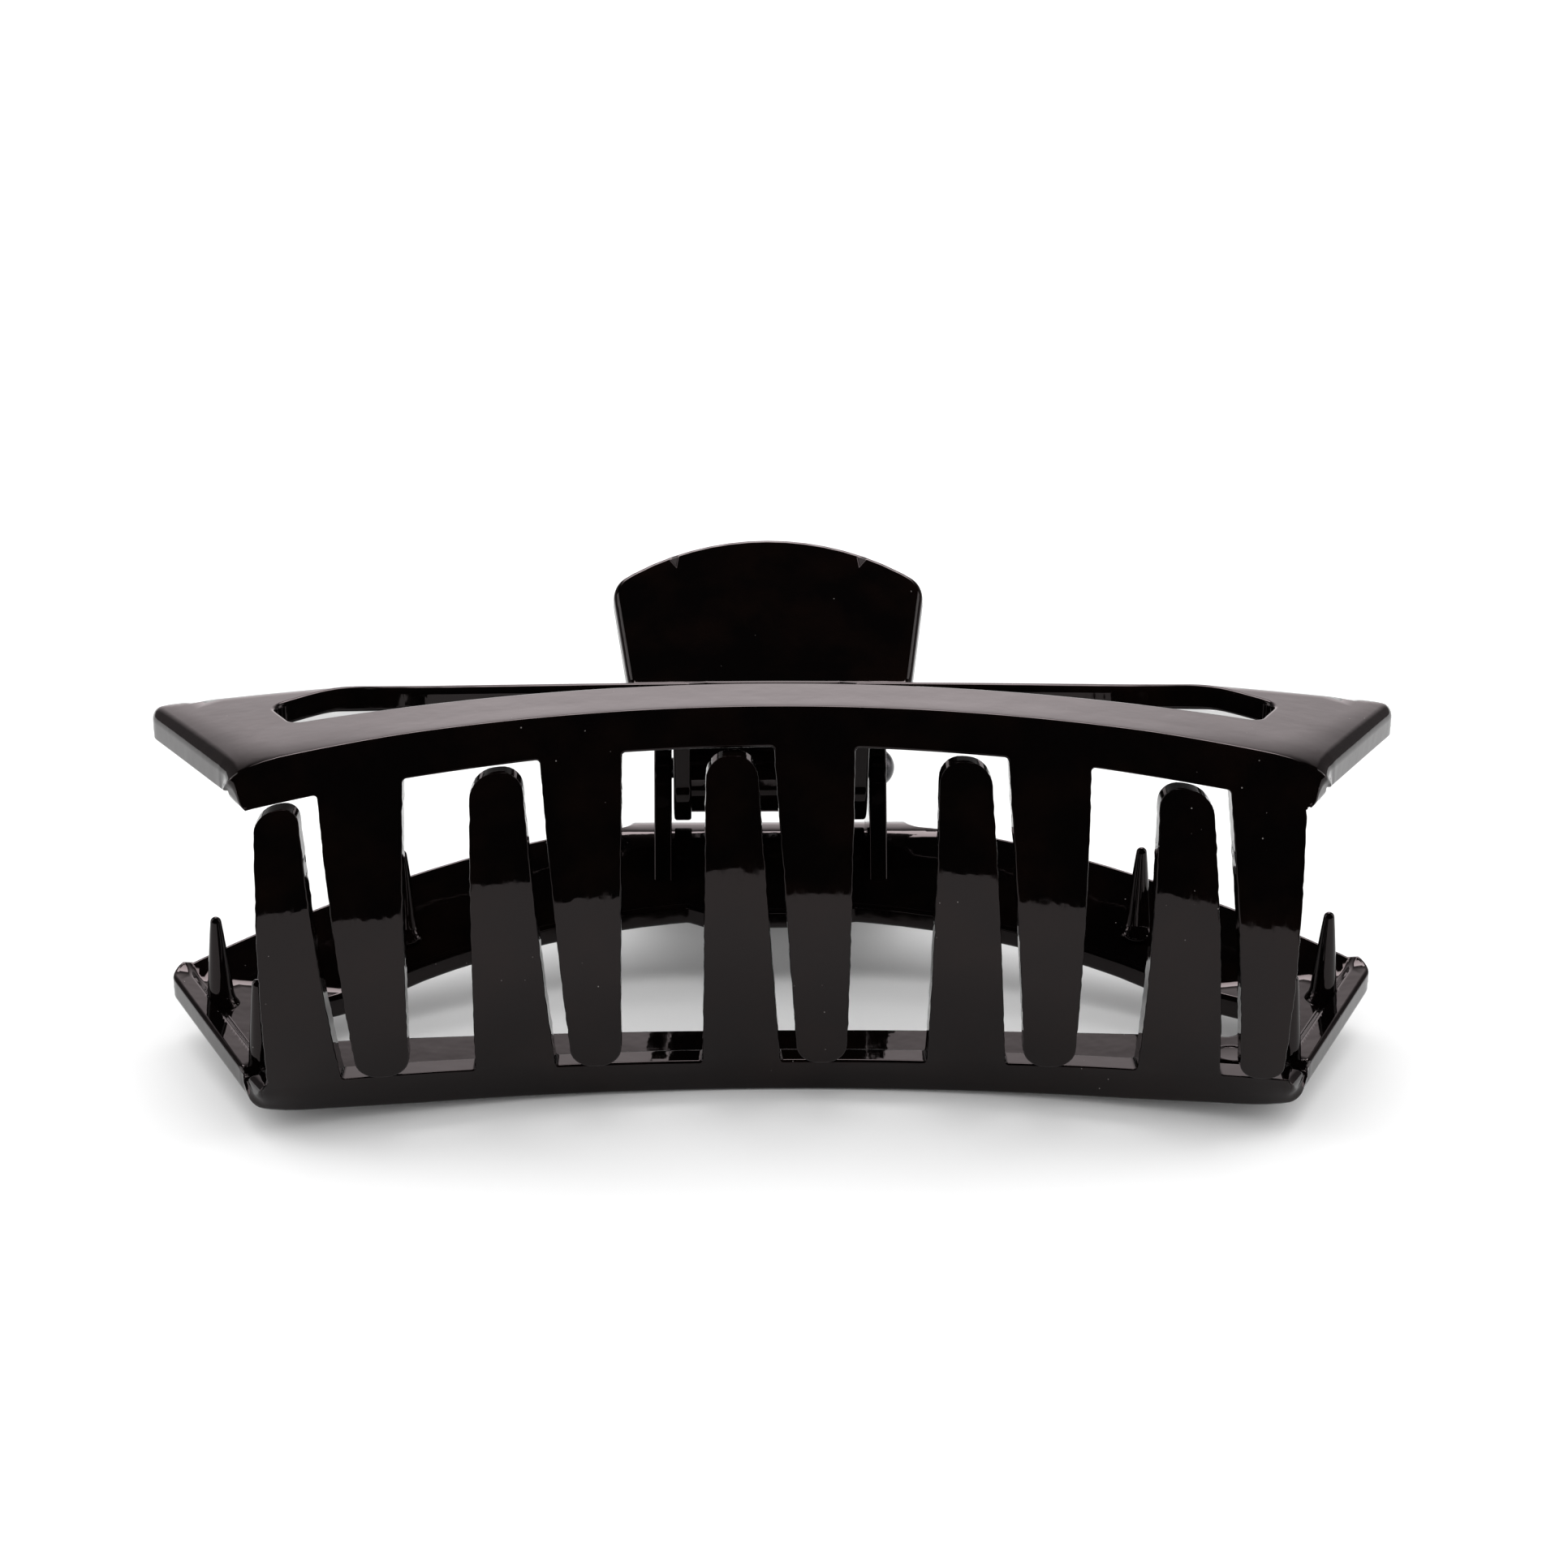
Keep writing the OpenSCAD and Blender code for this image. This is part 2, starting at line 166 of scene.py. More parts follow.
def bend(a, b, c, r, n):
    """Points and left normals of a round bend of radius r at b."""
    a, b, c = (np.asarray(p, float) for p in (a, b, c))
    u, w = unit(b - a), unit(c - b)
    turn = math.atan2(u[0] * w[1] - u[1] * w[0], u @ w)
    side = -1 if turn < 0 else 1
    start = b - r * abs(math.tan(turn / 2)) * u
    centre = start + side * r * left(u)
    out = []
    for i in range(n + 1):
        q = turned(left(u), turn * i / n)
        out.append((centre - side * r * q, q))
    return out


def rounded(points, n=6):
    """Closed outline from corners given as (x, y, radius)."""
    out = []
    for i, b in enumerate(points):
        a, c = points[i - 1], points[(i + 1) % len(points)]
        if b[2] > 0:
            out += [tuple(q[0]) for q in bend(a[:2], b[:2], c[:2], b[2], n)]
        else:
            out.append((b[0], b[1]))
    return out


def bow(a, b, s, n):
    """Points strictly between a and b on an arc that stands s proud, on its right."""
    a, b = np.asarray(a, float), np.asarray(b, float)
    c = np.linalg.norm(b - a)
    r = c * c / 8 / s + s / 2
    u = unit(b - a)
    o = (a + b) / 2 + left(u) * (r - s)
    half = math.asin(c / 2 / r)
    return [o - r * turned(left(u), -half + 2 * half * i / n) for i in range(1, n)]


def dense(points, step):
    """Closed outline with no side longer than step."""
    p = np.asarray(points, float)
    out = []
    for i in range(len(p)):
        a, b = p[i], p[(i + 1) % len(p)]
        d = np.linalg.norm(b - a)
        if d < 1e-6:
            continue
        k = max(1, math.ceil(d / step))
        out += [a + (b - a) * j / k for j in range(k)]
    return np.array(out)


def outward(p):
    """Outward normals of a counter-clockwise closed outline."""
    e = np.roll(p, -1, 0) - p
    n = np.stack([e[:, 1], -e[:, 0]], 1)
    n /= np.linalg.norm(n, axis=1)[:, None]
    m = n + np.roll(n, 1, 0)
    m /= np.maximum((m * m).sum(1), 0.4)[:, None] / 2
    return m


def eased(p, rad):
    """Rim radii kept below the outline's own round corners."""
    e = np.roll(p, -1, 0) - p
    ln = np.linalg.norm(e, axis=1)
    a = np.arctan2(e[:, 1], e[:, 0])
    turn = (a - np.roll(a, 1) + math.pi) % (2 * math.pi) - math.pi
    bend_rate = np.maximum(turn, 0) / np.maximum((ln + np.roll(ln, 1)) / 2, 0.05)
    r = np.minimum(rad, np.where(bend_rate > 0.02, 0.62 / np.maximum(bend_rate, 1e-6), rad))
    for _ in range(3):
        r = np.minimum(r, (np.roll(r, 1) + np.roll(r, -1)) / 2 + 0.02)
    for _ in range(2):
        r = np.minimum(r, (np.roll(r, 1) + r + np.roll(r, -1)) / 3)
    return r


def inside(p, q):
    """Which points q lie inside the closed outline p."""
    x, y = q[:, 0][:, None], q[:, 1][:, None]
    x1, y1 = p[:, 0][None], p[:, 1][None]
    x2, y2 = np.roll(p[:, 0], -1)[None], np.roll(p[:, 1], -1)[None]
    cross = (y1 > y) != (y2 > y)
    with np.errstate(divide="ignore", invalid="ignore"):
        xs = x1 + (y - y1) * (x2 - x1) / (y2 - y1)
    return (np.where(cross, x < xs, False).sum(1) % 2) == 1


# ---------- the sheet: a flat outline with holes, rounded rims, bent into place ----------
ARC = 5


def sheet_mesh(loops, radii, grid, place, wall, rim_seam=0.0, low_radii=None):
    """loops: outlines, the first counter-clockwise and the holes clockwise.
    radii: rim radius at each outline point, low_radii the same on the lower face.
    place(x, v, w) gives positions, w in mm from the lower face."""
    pts = np.vstack(loops)
    nrm = np.vstack([outward(p) for p in loops])
    rad = np.concatenate([eased(p, r) for p, r in zip(loops, radii)])
    low = rad if low_radii is None else np.concatenate([eased(p, r) for p, r in zip(loops, low_radii)])
    count = len(pts)
    angles = np.linspace(math.pi / 2, 0, ARC + 1)
    rows, normals = [], []
    for a in angles:
        rows.append((pts - nrm * (rad * (1 - math.cos(a)))[:, None], wall - rad * (1 - math.sin(a))))
        normals.append((nrm * math.cos(a), math.sin(a)))
    if rim_seam:
        top_w, low_w = wall - rad, low
        for share, out in ((0.56, 0), (0.5, rim_seam), (0.44, 0)):
            rows.append((pts + nrm * out, low_w + (top_w - low_w) * share))
            normals.append((nrm, 0.0))
    for a in angles[::-1]:
        rows.append((pts - nrm * (low * (1 - math.cos(a)))[:, None], low * (1 - math.sin(a))))
        normals.append((nrm * math.cos(a), -math.sin(a)))
    ring_count = len(rows)
    verts = [np.column_stack([r[0], r[1]]) for r in rows]
    ns = []
    for flat_way, up in normals:
        across = math.cos(math.asin(up)) if abs(up) < 1 else 0.0
        length = np.maximum(np.linalg.norm(flat_way, axis=1), 1e-9)[:, None]
        ns.append(np.column_stack([flat_way / length * across, np.full(count, up)]))
    faces = []
    start = 0
    for p in loops:
        k = len(p)
        for r in range(ring_count - 1):
            here, below = r * count + start, (r + 1) * count + start
            for i in range(k):
                j = (i + 1) % k
                faces.append((here + j, here + i, below + i, below + j))
        start += k
    top = rows[0][0]
    edges, start = [], 0
    tops = []
    for p in loops:
        k = len(p)
        edges += [(start + i, start + (i + 1) % k) for i in range(k)]
        tops.append(top[start:start + k])
        start += k
    if grid is not None and len(grid):
        keep = inside(tops[0], grid)
        for h in tops[1:]:
            keep &= ~inside(h, grid)
        grid = grid[keep]
        near = np.array([np.min(((top - g) ** 2).sum(1)) for g in grid])
        grid = grid[near > 0.3 ** 2]
    else:
        grid = np.zeros((0, 2))
    flat = np.vstack([top, grid])
    res = delaunay_2d_cdt([Vector(p) for p in flat], edges, [], 0, 1e-7)
    if len(res[0]) != len(flat):
        crossings = [tuple(round(c, 2) for c in q) for q in res[0][len(flat):]]
        raise ValueError("the outline crosses itself near %s" % crossings)
    back = [o[0] for o in res[3]]
    tris = np.array([[back[i] for i in f] for f in res[2]])
    mids = flat[tris].mean(1)
    keep = inside(tops[0], mids)
    for h in tops[1:]:
        keep &= ~inside(h, mids)
    tris = tris[keep]
    m = len(grid)
    base_top = ring_count * count
    base_low = base_top + m
    verts += [np.column_stack([grid, np.full(m, wall)]), np.column_stack([grid, np.zeros(m)])]
    ns += [np.tile([0, 0, 1.0], (m, 1)), np.tile([0, 0, -1.0], (m, 1))]
    last = (ring_count - 1) * count
    for t in tris:
        faces.append(tuple(int(i) if i < count else int(base_top + i - count) for i in t))
        faces.append(tuple(int(last + i) if i < count else int(base_low + i - count) for i in t[::-1]))
    v, n = np.vstack(verts), np.vstack(ns)
    return bent(v, n, place), faces


def bent(v, n, place):
    """Positions and true normals after place()."""
    h = 1e-3
    p = place(v)
    d = [(place(v + h * e) - place(v - h * e)) / (2 * h) for e in np.eye(3)]
    m = (n[:, :1] * np.cross(d[1], d[2]) + n[:, 1:2] * np.cross(d[2], d[0]) + n[:, 2:] * np.cross(d[0], d[1]))
    det = (d[0] * np.cross(d[1], d[2])).sum(1)
    m *= np.sign(det)[:, None]
    return p, m / np.maximum(np.linalg.norm(m, axis=1), 1e-12)[:, None], det


class Solid:
    """Collects closed shells in hinge millimetres and makes one object of them."""

    def __init__(self, flip=False):
        self.v, self.n, self.f, self.count = [], [], [], 0
        self.flip = flip

    def add(self, part, faces):
        p, n, det = part
        p, n = p.copy(), n.copy()
        reverse = np.median(det) < 0
        if self.flip:
            p[:, [0, 2]] *= -1
            n[:, [0, 2]] *= -1
        self.v.append(p)
        self.n.append(n)
        c = self.count
        self.f += [tuple(i + c for i in (f[::-1] if reverse else f)) for f in faces]
        self.count += len(p)

    def build(self, name, material):
        v = (np.vstack(self.v) + [0, PIN_Y, PIN_Z]) * MM
        n = np.vstack(self.n)
        mesh = bpy.data.meshes.new(name)
        mesh.from_pydata(v.tolist(), [], self.f)
        mesh.validate()
        mesh.polygons.foreach_set("use_smooth", [True] * len(mesh.polygons))
        mesh.update()
        mesh.normals_split_custom_set_from_vertices(n.tolist())
        mesh.materials.append(material)
        ob = bpy.data.objects.new(name, mesh)
        bpy.context.scene.collection.objects.link(ob)
        return ob


def lathe(profile, axis_map, steps):
    """Revolves (radius, height) points with smooth normals. axis_map places (x, y, z)."""
    prof = np.asarray(profile, float)
    t = np.gradient(prof, axis=0)
    nr, nz = t[:, 1], -t[:, 0]
    ln = np.hypot(nr, nz)
    nr, nz = nr / ln, nz / ln
    k = len(prof)
    v, n, f = [], [], []
    for i in range(k):
        for j in range(steps):
            a = 2 * math.pi * j / steps
            v.append((prof[i, 0] * math.cos(a), prof[i, 0] * math.sin(a), prof[i, 1]))
            n.append((nr[i] * math.cos(a), nr[i] * math.sin(a), nz[i]))
    for i in range(k - 1):
        for j in range(steps):
            q = (j + 1) % steps
            f.append((i * steps + j, i * steps + q, (i + 1) * steps + q, (i + 1) * steps + j))
    f.append(tuple(range(steps))[::-1])
    f.append(tuple((k - 1) * steps + j for j in range(steps)))
    return bent(np.array(v), np.array(n), axis_map), f


# ---------- jaw surfaces ----------
def hollow(x, r):
    return r - np.sqrt(r * r - x * x)


def drop(x):
    return hollow(x, ARCH_R)


mid_front = np.array([FRONT_Y - 12, HALF_T - WALL / 2 + FALL * (12 + EDGE)])
mid_crease = np.array([CREASE_Y, HALF_T - WALL / 2 - FRONT_FALL])
mid_waist = np.array([0.0, WAIST_H + WALL / 2])
TAB_A = math.atan2(HALF_T - TAB_INSET - WAIST_H - WALL, TAB_REACH)
tab_way = np.array([math.cos(TAB_A), math.sin(TAB_A)])
mid_end = mid_waist + (TAB_REACH + 2) / math.cos(TAB_A) * tab_way
line = [(mid_front, left(unit(mid_crease - mid_front)))]
line += bend(mid_front, mid_crease, mid_waist, 5.0, 24)
line += bend(mid_crease, mid_waist, mid_end, 4.5, 24)
line += [(mid_end, left(tab_way))]
LINE_Y = np.array([q[0][0] for q in line])
LINE_Z = np.array([q[0][1] for q in line])
LINE_A = np.array([math.atan2(q[1][1], q[1][0]) for q in line])

o_chord = np.array([TIP_LEAD, 2 * ROOT_Z - TIP_GAP])
face_mid = np.array([-TIP_LEAD / 2, TIP_GAP / 2])
face_reach = math.sqrt(FACE_R ** 2 - o_chord @ o_chord / 4)
face_o = face_mid + face_reach * unit([o_chord[1], -o_chord[0]])
tip_sine = (-ROOT_Z + TIP_GAP - face_o[1]) / FACE_R
root_sine = (ROOT_Z - face_o[1]) / FACE_R
back_shift = (WALL - TIP_WALL) / (root_sine - tip_sine)
back_r = FACE_R - WALL + back_shift * root_sine


def d_out(z):
    return face_o[0] - np.sqrt(FACE_R ** 2 - (z - face_o[1]) ** 2)


def d_in(z):
    return face_o[0] - np.sqrt(back_r ** 2 - (z - face_o[1] + back_shift) ** 2)


def y_of(x, d):
    return FRONT_Y - PLAN_R + np.sqrt((PLAN_R + d) ** 2 - x * x)


def arched(x, z, share=1.0):
    """Height of a point of the bent plate once the arch has lowered it."""
    low = (HALF_T - ARCH_R) + np.sqrt((ARCH_R - HALF_T + z) ** 2 - x * x)
    return z + (low - z) * share


END_A = np.array([FRONT_HALF, float(y_of(FRONT_HALF, EDGE))])
END_B = np.array([HALF_L + 1.0, CREASE_Y])
END_WAY = (END_B - END_A) / np.linalg.norm(END_B - END_A)


def inward(x, y):
    """Distance of a plan point from the slanted end edge."""
    return -(np.abs(x) - END_A[0]) * END_WAY[1] + (y - END_A[1]) * END_WAY[0]


def along_end(x, y):
    """Share of the way back along the end edge."""
    return np.clip(((np.abs(x) - END_A[0]) * END_WAY[0] + (y - END_A[1]) * END_WAY[1]) / 22.0, 0, 1)


def lip(x, y):
    """How far the inner face is lowered by the lip under each jaw end."""
    along = along_end(x, y)
    return smooth((2.9 - inward(x, y)) / 1.1) * (1.1 - 0.5 * along) * (np.abs(x) > 38)


def smooth(t):
    t = np.clip(t, 0, 1)
    return t * t * (3 - 2 * t)


def end_shift(x, y, v):
    """Sideways shift that carries the slanted end of the plate on over the band."""
    way = END_WAY[0] / END_WAY[1]
    y0 = y_of(x, EDGE + np.clip(v, 0, D1))
    return np.sign(x) * way * (y - y0) * smooth((np.abs(x) - 43.75) / 1.2) * smooth((v + 6.8) / 2.2)


def shoulder(x, y, v):
    """How far the outer face falls away towards the jaw ends and their front corners."""
    ax, along = np.abs(x), along_end(x, y)
    side = (1 - 0.75 * along) * np.clip(1 - inward(x, y) / (5.2 - 2.6 * along), 0, 1) ** 2.4
    front = smooth((ax - 30.0) / 16.0) * np.clip(1 - np.maximum(v, 0) / 4.5, 0, 1) ** 2.4
    return (0.7 * side + 0.4 * front) * (ax > 28)


def low_part(w):
    """1 at the inner face, 0 from a little over half the wall outwards."""
    return np.clip((1.35 - w) / 0.95, 0, 1)


OUT_Y, OUT_Z = LINE_Y + WALL / 2 * np.cos(LINE_A), LINE_Z + WALL / 2 * np.sin(LINE_A)
IN_Y, IN_Z = LINE_Y - WALL / 2 * np.cos(LINE_A), LINE_Z - WALL / 2 * np.sin(LINE_A)


def plate_point(x, y, w):
    """Point of the plate over plan position y, a share w / WALL of the way out from the inner face."""
    low, top = np.interp(y, IN_Y, IN_Z), np.interp(y, OUT_Y, OUT_Z)
    share = smooth((3.0 - y) / 9.0)
    return np.stack([x, y, arched(x, low + (top - low) * w / WALL, share)], -1)


def corner_z(x):
    y = y_of(x, EDGE)
    return arched(x, HALF_T - FALL * (y - FRONT_Y - EDGE))


def tip_z(x):
    return -(ROOT_Z - drop(x)) + TIP_GAP


D1, H1, RC, RI = 3.4, 3.5, 0.5, 0.55    # corner zone, outer round, inner fillet
Y2 = -2.0                               # plate position up to which the flat outline is stretched
V2 = Y2 - FRONT_Y - EDGE
HS = 2 * ROOT_Z + 3.4 - TIP_GAP         # height of a tooth with its band


def corner_paths():
    """Outer and inner edge of the section where plate and band meet, as (d, depth) over v."""
    lean = math.atan2(d_out(HALF_T) - d_out(HALF_T - 1), 1.0)
    outer, inner = [], []
    n = 8
    t = RC * math.tan((math.pi / 2 - lean) / 2)
    c = np.array([EDGE + t, RC])
    for i in range(n + 1):
        a = math.pi / 2 + (math.pi / 2 - lean) * i / n
        outer.append((c[0] + RC * math.cos(a), c[1] - RC * math.sin(a)))
    corner = np.array([d_in(HALF_T - WALL), WALL])
    ti = RI * math.tan((math.pi / 2 - lean) / 2)
    ci = np.array([corner[0] + ti, corner[1] + RI])
    for i in range(n + 1):
        a = math.pi / 2 + (math.pi / 2 - lean) * i / n
        inner.append((ci[0] + RI * math.cos(a), ci[1] - RI * math.sin(a)))
    return outer, inner


OUT_ARC, IN_ARC = corner_paths()
ARC_V = 0.5


def corner_dh(v, arc, which, flat_h):
    """(d, depth) on one edge of the corner section at flat coordinate v."""
    k = len(arc)
    va = np.linspace(ARC_V, -ARC_V, k)
    vs = np.concatenate([[D1], va, [-H1]])
    end_d = which(HALF_T - H1)
    ds = np.concatenate([[EDGE + D1], [q[0] for q in arc], [end_d]])
    hs = np.concatenate([[flat_h], [q[1] for q in arc], [H1]])
    d = np.interp(-v, -vs, ds)
    h = np.interp(-v, -vs, hs)
    # below the arc the edge follows the curved face
    face = v < -ARC_V
    d0 = arc[-1][0] - which(HALF_T - arc[-1][1])
    fade = np.clip((h - arc[-1][1]) / (H1 - arc[-1][1]), 0, 1)
    d = np.where(face, which(HALF_T - h) + d0 * (1 - fade), d)
    return d, h


def jaw_place(q):
    x, v, w = q[:, 0], q[:, 1], q[:, 2]
    share = w / WALL
    # teeth and band
    z0 = HALF_T + v
    dt = d_in(z0) + (d_out(z0) - d_in(z0)) * share
    zc, zb = corner_z(x), tip_z(x)
    p = -v / HS
    yt = y_of(x, dt)
    tooth = np.stack([x + end_shift(x, yt, v), yt, zc - (zc - zb) * p], -1)
    # corner between band and plate
    vc = np.clip(v, -H1, D1)
    do, ho = corner_dh(vc, OUT_ARC, d_out, 0.0)
    di, hi = corner_dh(vc, IN_ARC, d_in, WALL)
    lipped = WALL + lip(x, y_of(x, di))
    more = np.maximum(hi, lipped + (H1 - lipped) * np.clip((ARC_V - vc) / (ARC_V + H1), 0, 1)) - hi
    more *= lipped > WALL
    d = di + (do - di) * share
    h = hi + (ho - hi) * share + more * low_part(w)
    yc = y_of(x, d)
    z_plate = arched(x, HALF_T - FALL * (yc - FRONT_Y - EDGE)) - h
    z_face = zc - (zc - zb) * h / HS
    b = smooth((D1 - vc) / (D1 + H1))
    fall = shoulder(x, yc, vc) * (1 - low_part(w)) * smooth((vc + H1) / H1)
    z = z_plate * (1 - b) + z_face * b - fall
    corner = np.stack([x + end_shift(x, yc, vc), yc, z], -1)
    # plate
    y1 = y_of(x, EDGE + D1)
    yf = y1 + (Y2 - y1) * (np.maximum(v, D1) - D1) / (V2 - D1)
    yp = np.where(v < V2, yf, Y2 + v - V2)
    plate = plate_point(x, yp, w)
    # just behind the corner the plate is square to the arch, then it eases into the bent line
    ease = np.clip((v - D1) / 1.5, 0, 1)[:, None]
    flat = np.stack([x, yp, arched(x, HALF_T - FALL * (yp - FRONT_Y - EDGE)) - (WALL - w)], -1)
    plate = flat * (1 - ease) + plate * ease
    plate[:, 2] -= lip(x, yp) * low_part(w) + shoulder(x, yp, v) * (1 - low_part(w)) * (yp < CREASE_Y + 3)
    return np.where((v < -H1)[:, None], tooth, np.where((v < D1)[:, None], corner, plate))


def v_plate(x, y):
    """Flat coordinate of the plan point (x, y) of the plate."""
    if y >= Y2:
        return V2 + y - Y2
    y1, y0 = float(y_of(x, EDGE + D1)), float(y_of(x, EDGE))
    if y >= y1:
        return D1 + (y - y1) / (Y2 - y1) * (V2 - D1)
    return (y - y0) / (y1 - y0) * D1


def v_tooth(x, z):
    zc, zb = float(corner_z(x)), float(tip_z(x))
    return -(zc - z) / (zc - zb) * HS


def jaw_outline():
    reach = TAB_REACH - 0.03
    tab_foot = (TAB_FOOT, 0.0)
    tab_corner = (TAB_HALF, reach - float(hollow(TAB_HALF, TAB_REAR_R)))
    front = np.array([FRONT_HALF, float(y_of(FRONT_HALF, EDGE))])
    back = np.array([HALF_L, CREASE_Y])
    for _ in range(3):
        u = unit(back - front)
        w = unit(bow(back, tab_foot, REAR_BOW, 12)[0] - back)
        back = np.array([HALF_L + END_R * ((u[1] + w[1]) / (1 + u @ w) - 1), CREASE_Y])
    right = []
    for t in (0.08, 0.2, 0.4, 0.6, 0.8):
        right.append((front[0] + (back[0] - front[0]) * t, front[1] + (back[1] - front[1]) * t, 0))
    right += [(back[0], back[1], END_R)]
    right += [(q[0], q[1], 0) for q in bow(back, tab_foot, REAR_BOW, 14)]
    right += [(tab_foot[0], tab_foot[1], TAB_FOOT_R), (tab_corner[0], tab_corner[1], TAB_CORNER_R)]
    rear = [tab_corner[0] * (1 - i / 8) for i in range(1, 9)]
    right += [(x, reach - float(hollow(x, TAB_REAR_R)), 0) for x in rear]
    left_half = [(-p[0], p[1], p[2]) for p in right[:-1]][::-1]
    plan = rounded([(front[0], front[1], 0)] + right + left_half + [(-front[0], front[1], 0)], 8)
    plan = plan[1:-1]
    loop = [(x, v_plate(x, y)) for x, y in dense_open(plan, 0.7)]
    # band end, comb and the other band end, from the left
    band_v = v_tooth(FRONT_HALF, ROOT_Z - float(drop(FRONT_HALF)))
    corners = [(-FRONT_HALF, 0.0, 0), (-FRONT_HALF, band_v, 0.9)]
    pitch = (FRONT_HALF - 0.4 - TOOTH_W / 2 - TOOTH_SHIFT) / 2
    for i in range(-2, 3):
        c = TOOTH_SHIFT + i * pitch + (i * PAIR_SHIFT if abs(i) == 1 else 0)
        trim = END_TRIM if i == 2 else 0
        lo, hi = c - TOOTH_W / 2, c + TOOTH_W / 2 - trim
        tip_r = (TOOTH_W - PAIR_TAPER - OUTER_TAPER) * TIP_ROUND - TIP_ROUND * trim
        root = [v_tooth(x, ROOT_Z - float(drop(x))) for x in (lo, hi)]
        tip = v_tooth(c, float(tip_z(c)))
        corners += [(lo, root[0], ROOT_ROUND), (lo + PAIR_TAPER, tip, tip_r)]
        corners += [(hi - OUTER_TAPER, tip, tip_r), (hi, root[1], ROOT_ROUND)]
    corners += [(FRONT_HALF, band_v, 0.8), (FRONT_HALF, 0.0, 0)]
    comb = rounded(corners, 7)
    loop += [tuple(q) for q in dense_open(comb, 0.6)]
    return np.array(loop)


def dense_open(points, step):
    p = np.asarray(points, float)
    out = [p[0]]
    for a, b in zip(p[:-1], p[1:]):
        d = np.linalg.norm(b - a)
        if d < 1e-6:
            continue
        s = step if min(a[1], b[1]) < -4 or max(a[1], b[1]) > 4 else step / 2
        k = max(1, math.ceil(d / s))
        out += [a + (b - a) * j / k for j in range(1, k + 1)]
    return np.array(out)


def jaw_slot():
    front_y = FRONT_Y + EDGE + SLOT_DEPTH
    half = HALF_L - SLOT_INSET - SLOT_END_R
    fx = half - 2.6

    def front(x):
        return front_y - float(hollow(x, SLOT_FRONT_R))

    def rear(x):
        return SLOT_REAR_Y - float(hollow(x, SLOT_REAR_R))

    right = [(fx * i / 14, front(fx * i / 14), 0) for i in range(14)]
    right += [(fx, front(fx), 1.3), (half, rear(half), SLOT_END_R)]
    for i in range(1, 13):
        x = half + (9.6 - half) * i / 12
        right.append((x, rear(x), 0))
    right += [(8.0, rear(8.0), 1.2), (6.2, SLOT_STEP_Y, 1.2), (0, SLOT_STEP_Y, 0)]
    pts = right + [(-p[0], p[1], p[2]) for p in right[1:-1]][::-1]
    loop = rounded(pts, 6)
    loop = dense(loop, 0.7)[::-1]
    return np.array([(x, v_plate(x, y)) for x, y in loop])


def cleaned(p, gap=0.05):
    keep = [0]
    for i in range(1, len(p)):
        if np.linalg.norm(p[i] - p[keep[-1]]) > gap:
            keep.append(i)
    if np.linalg.norm(p[keep[-1]] - p[0]) < gap:
        keep.pop()
    return p[keep]


def ccw(p):
    x, y = p[:, 0], p[:, 1]
    return p if (x * np.roll(y, -1) - np.roll(x, -1) * y).sum() > 0 else p[::-1]


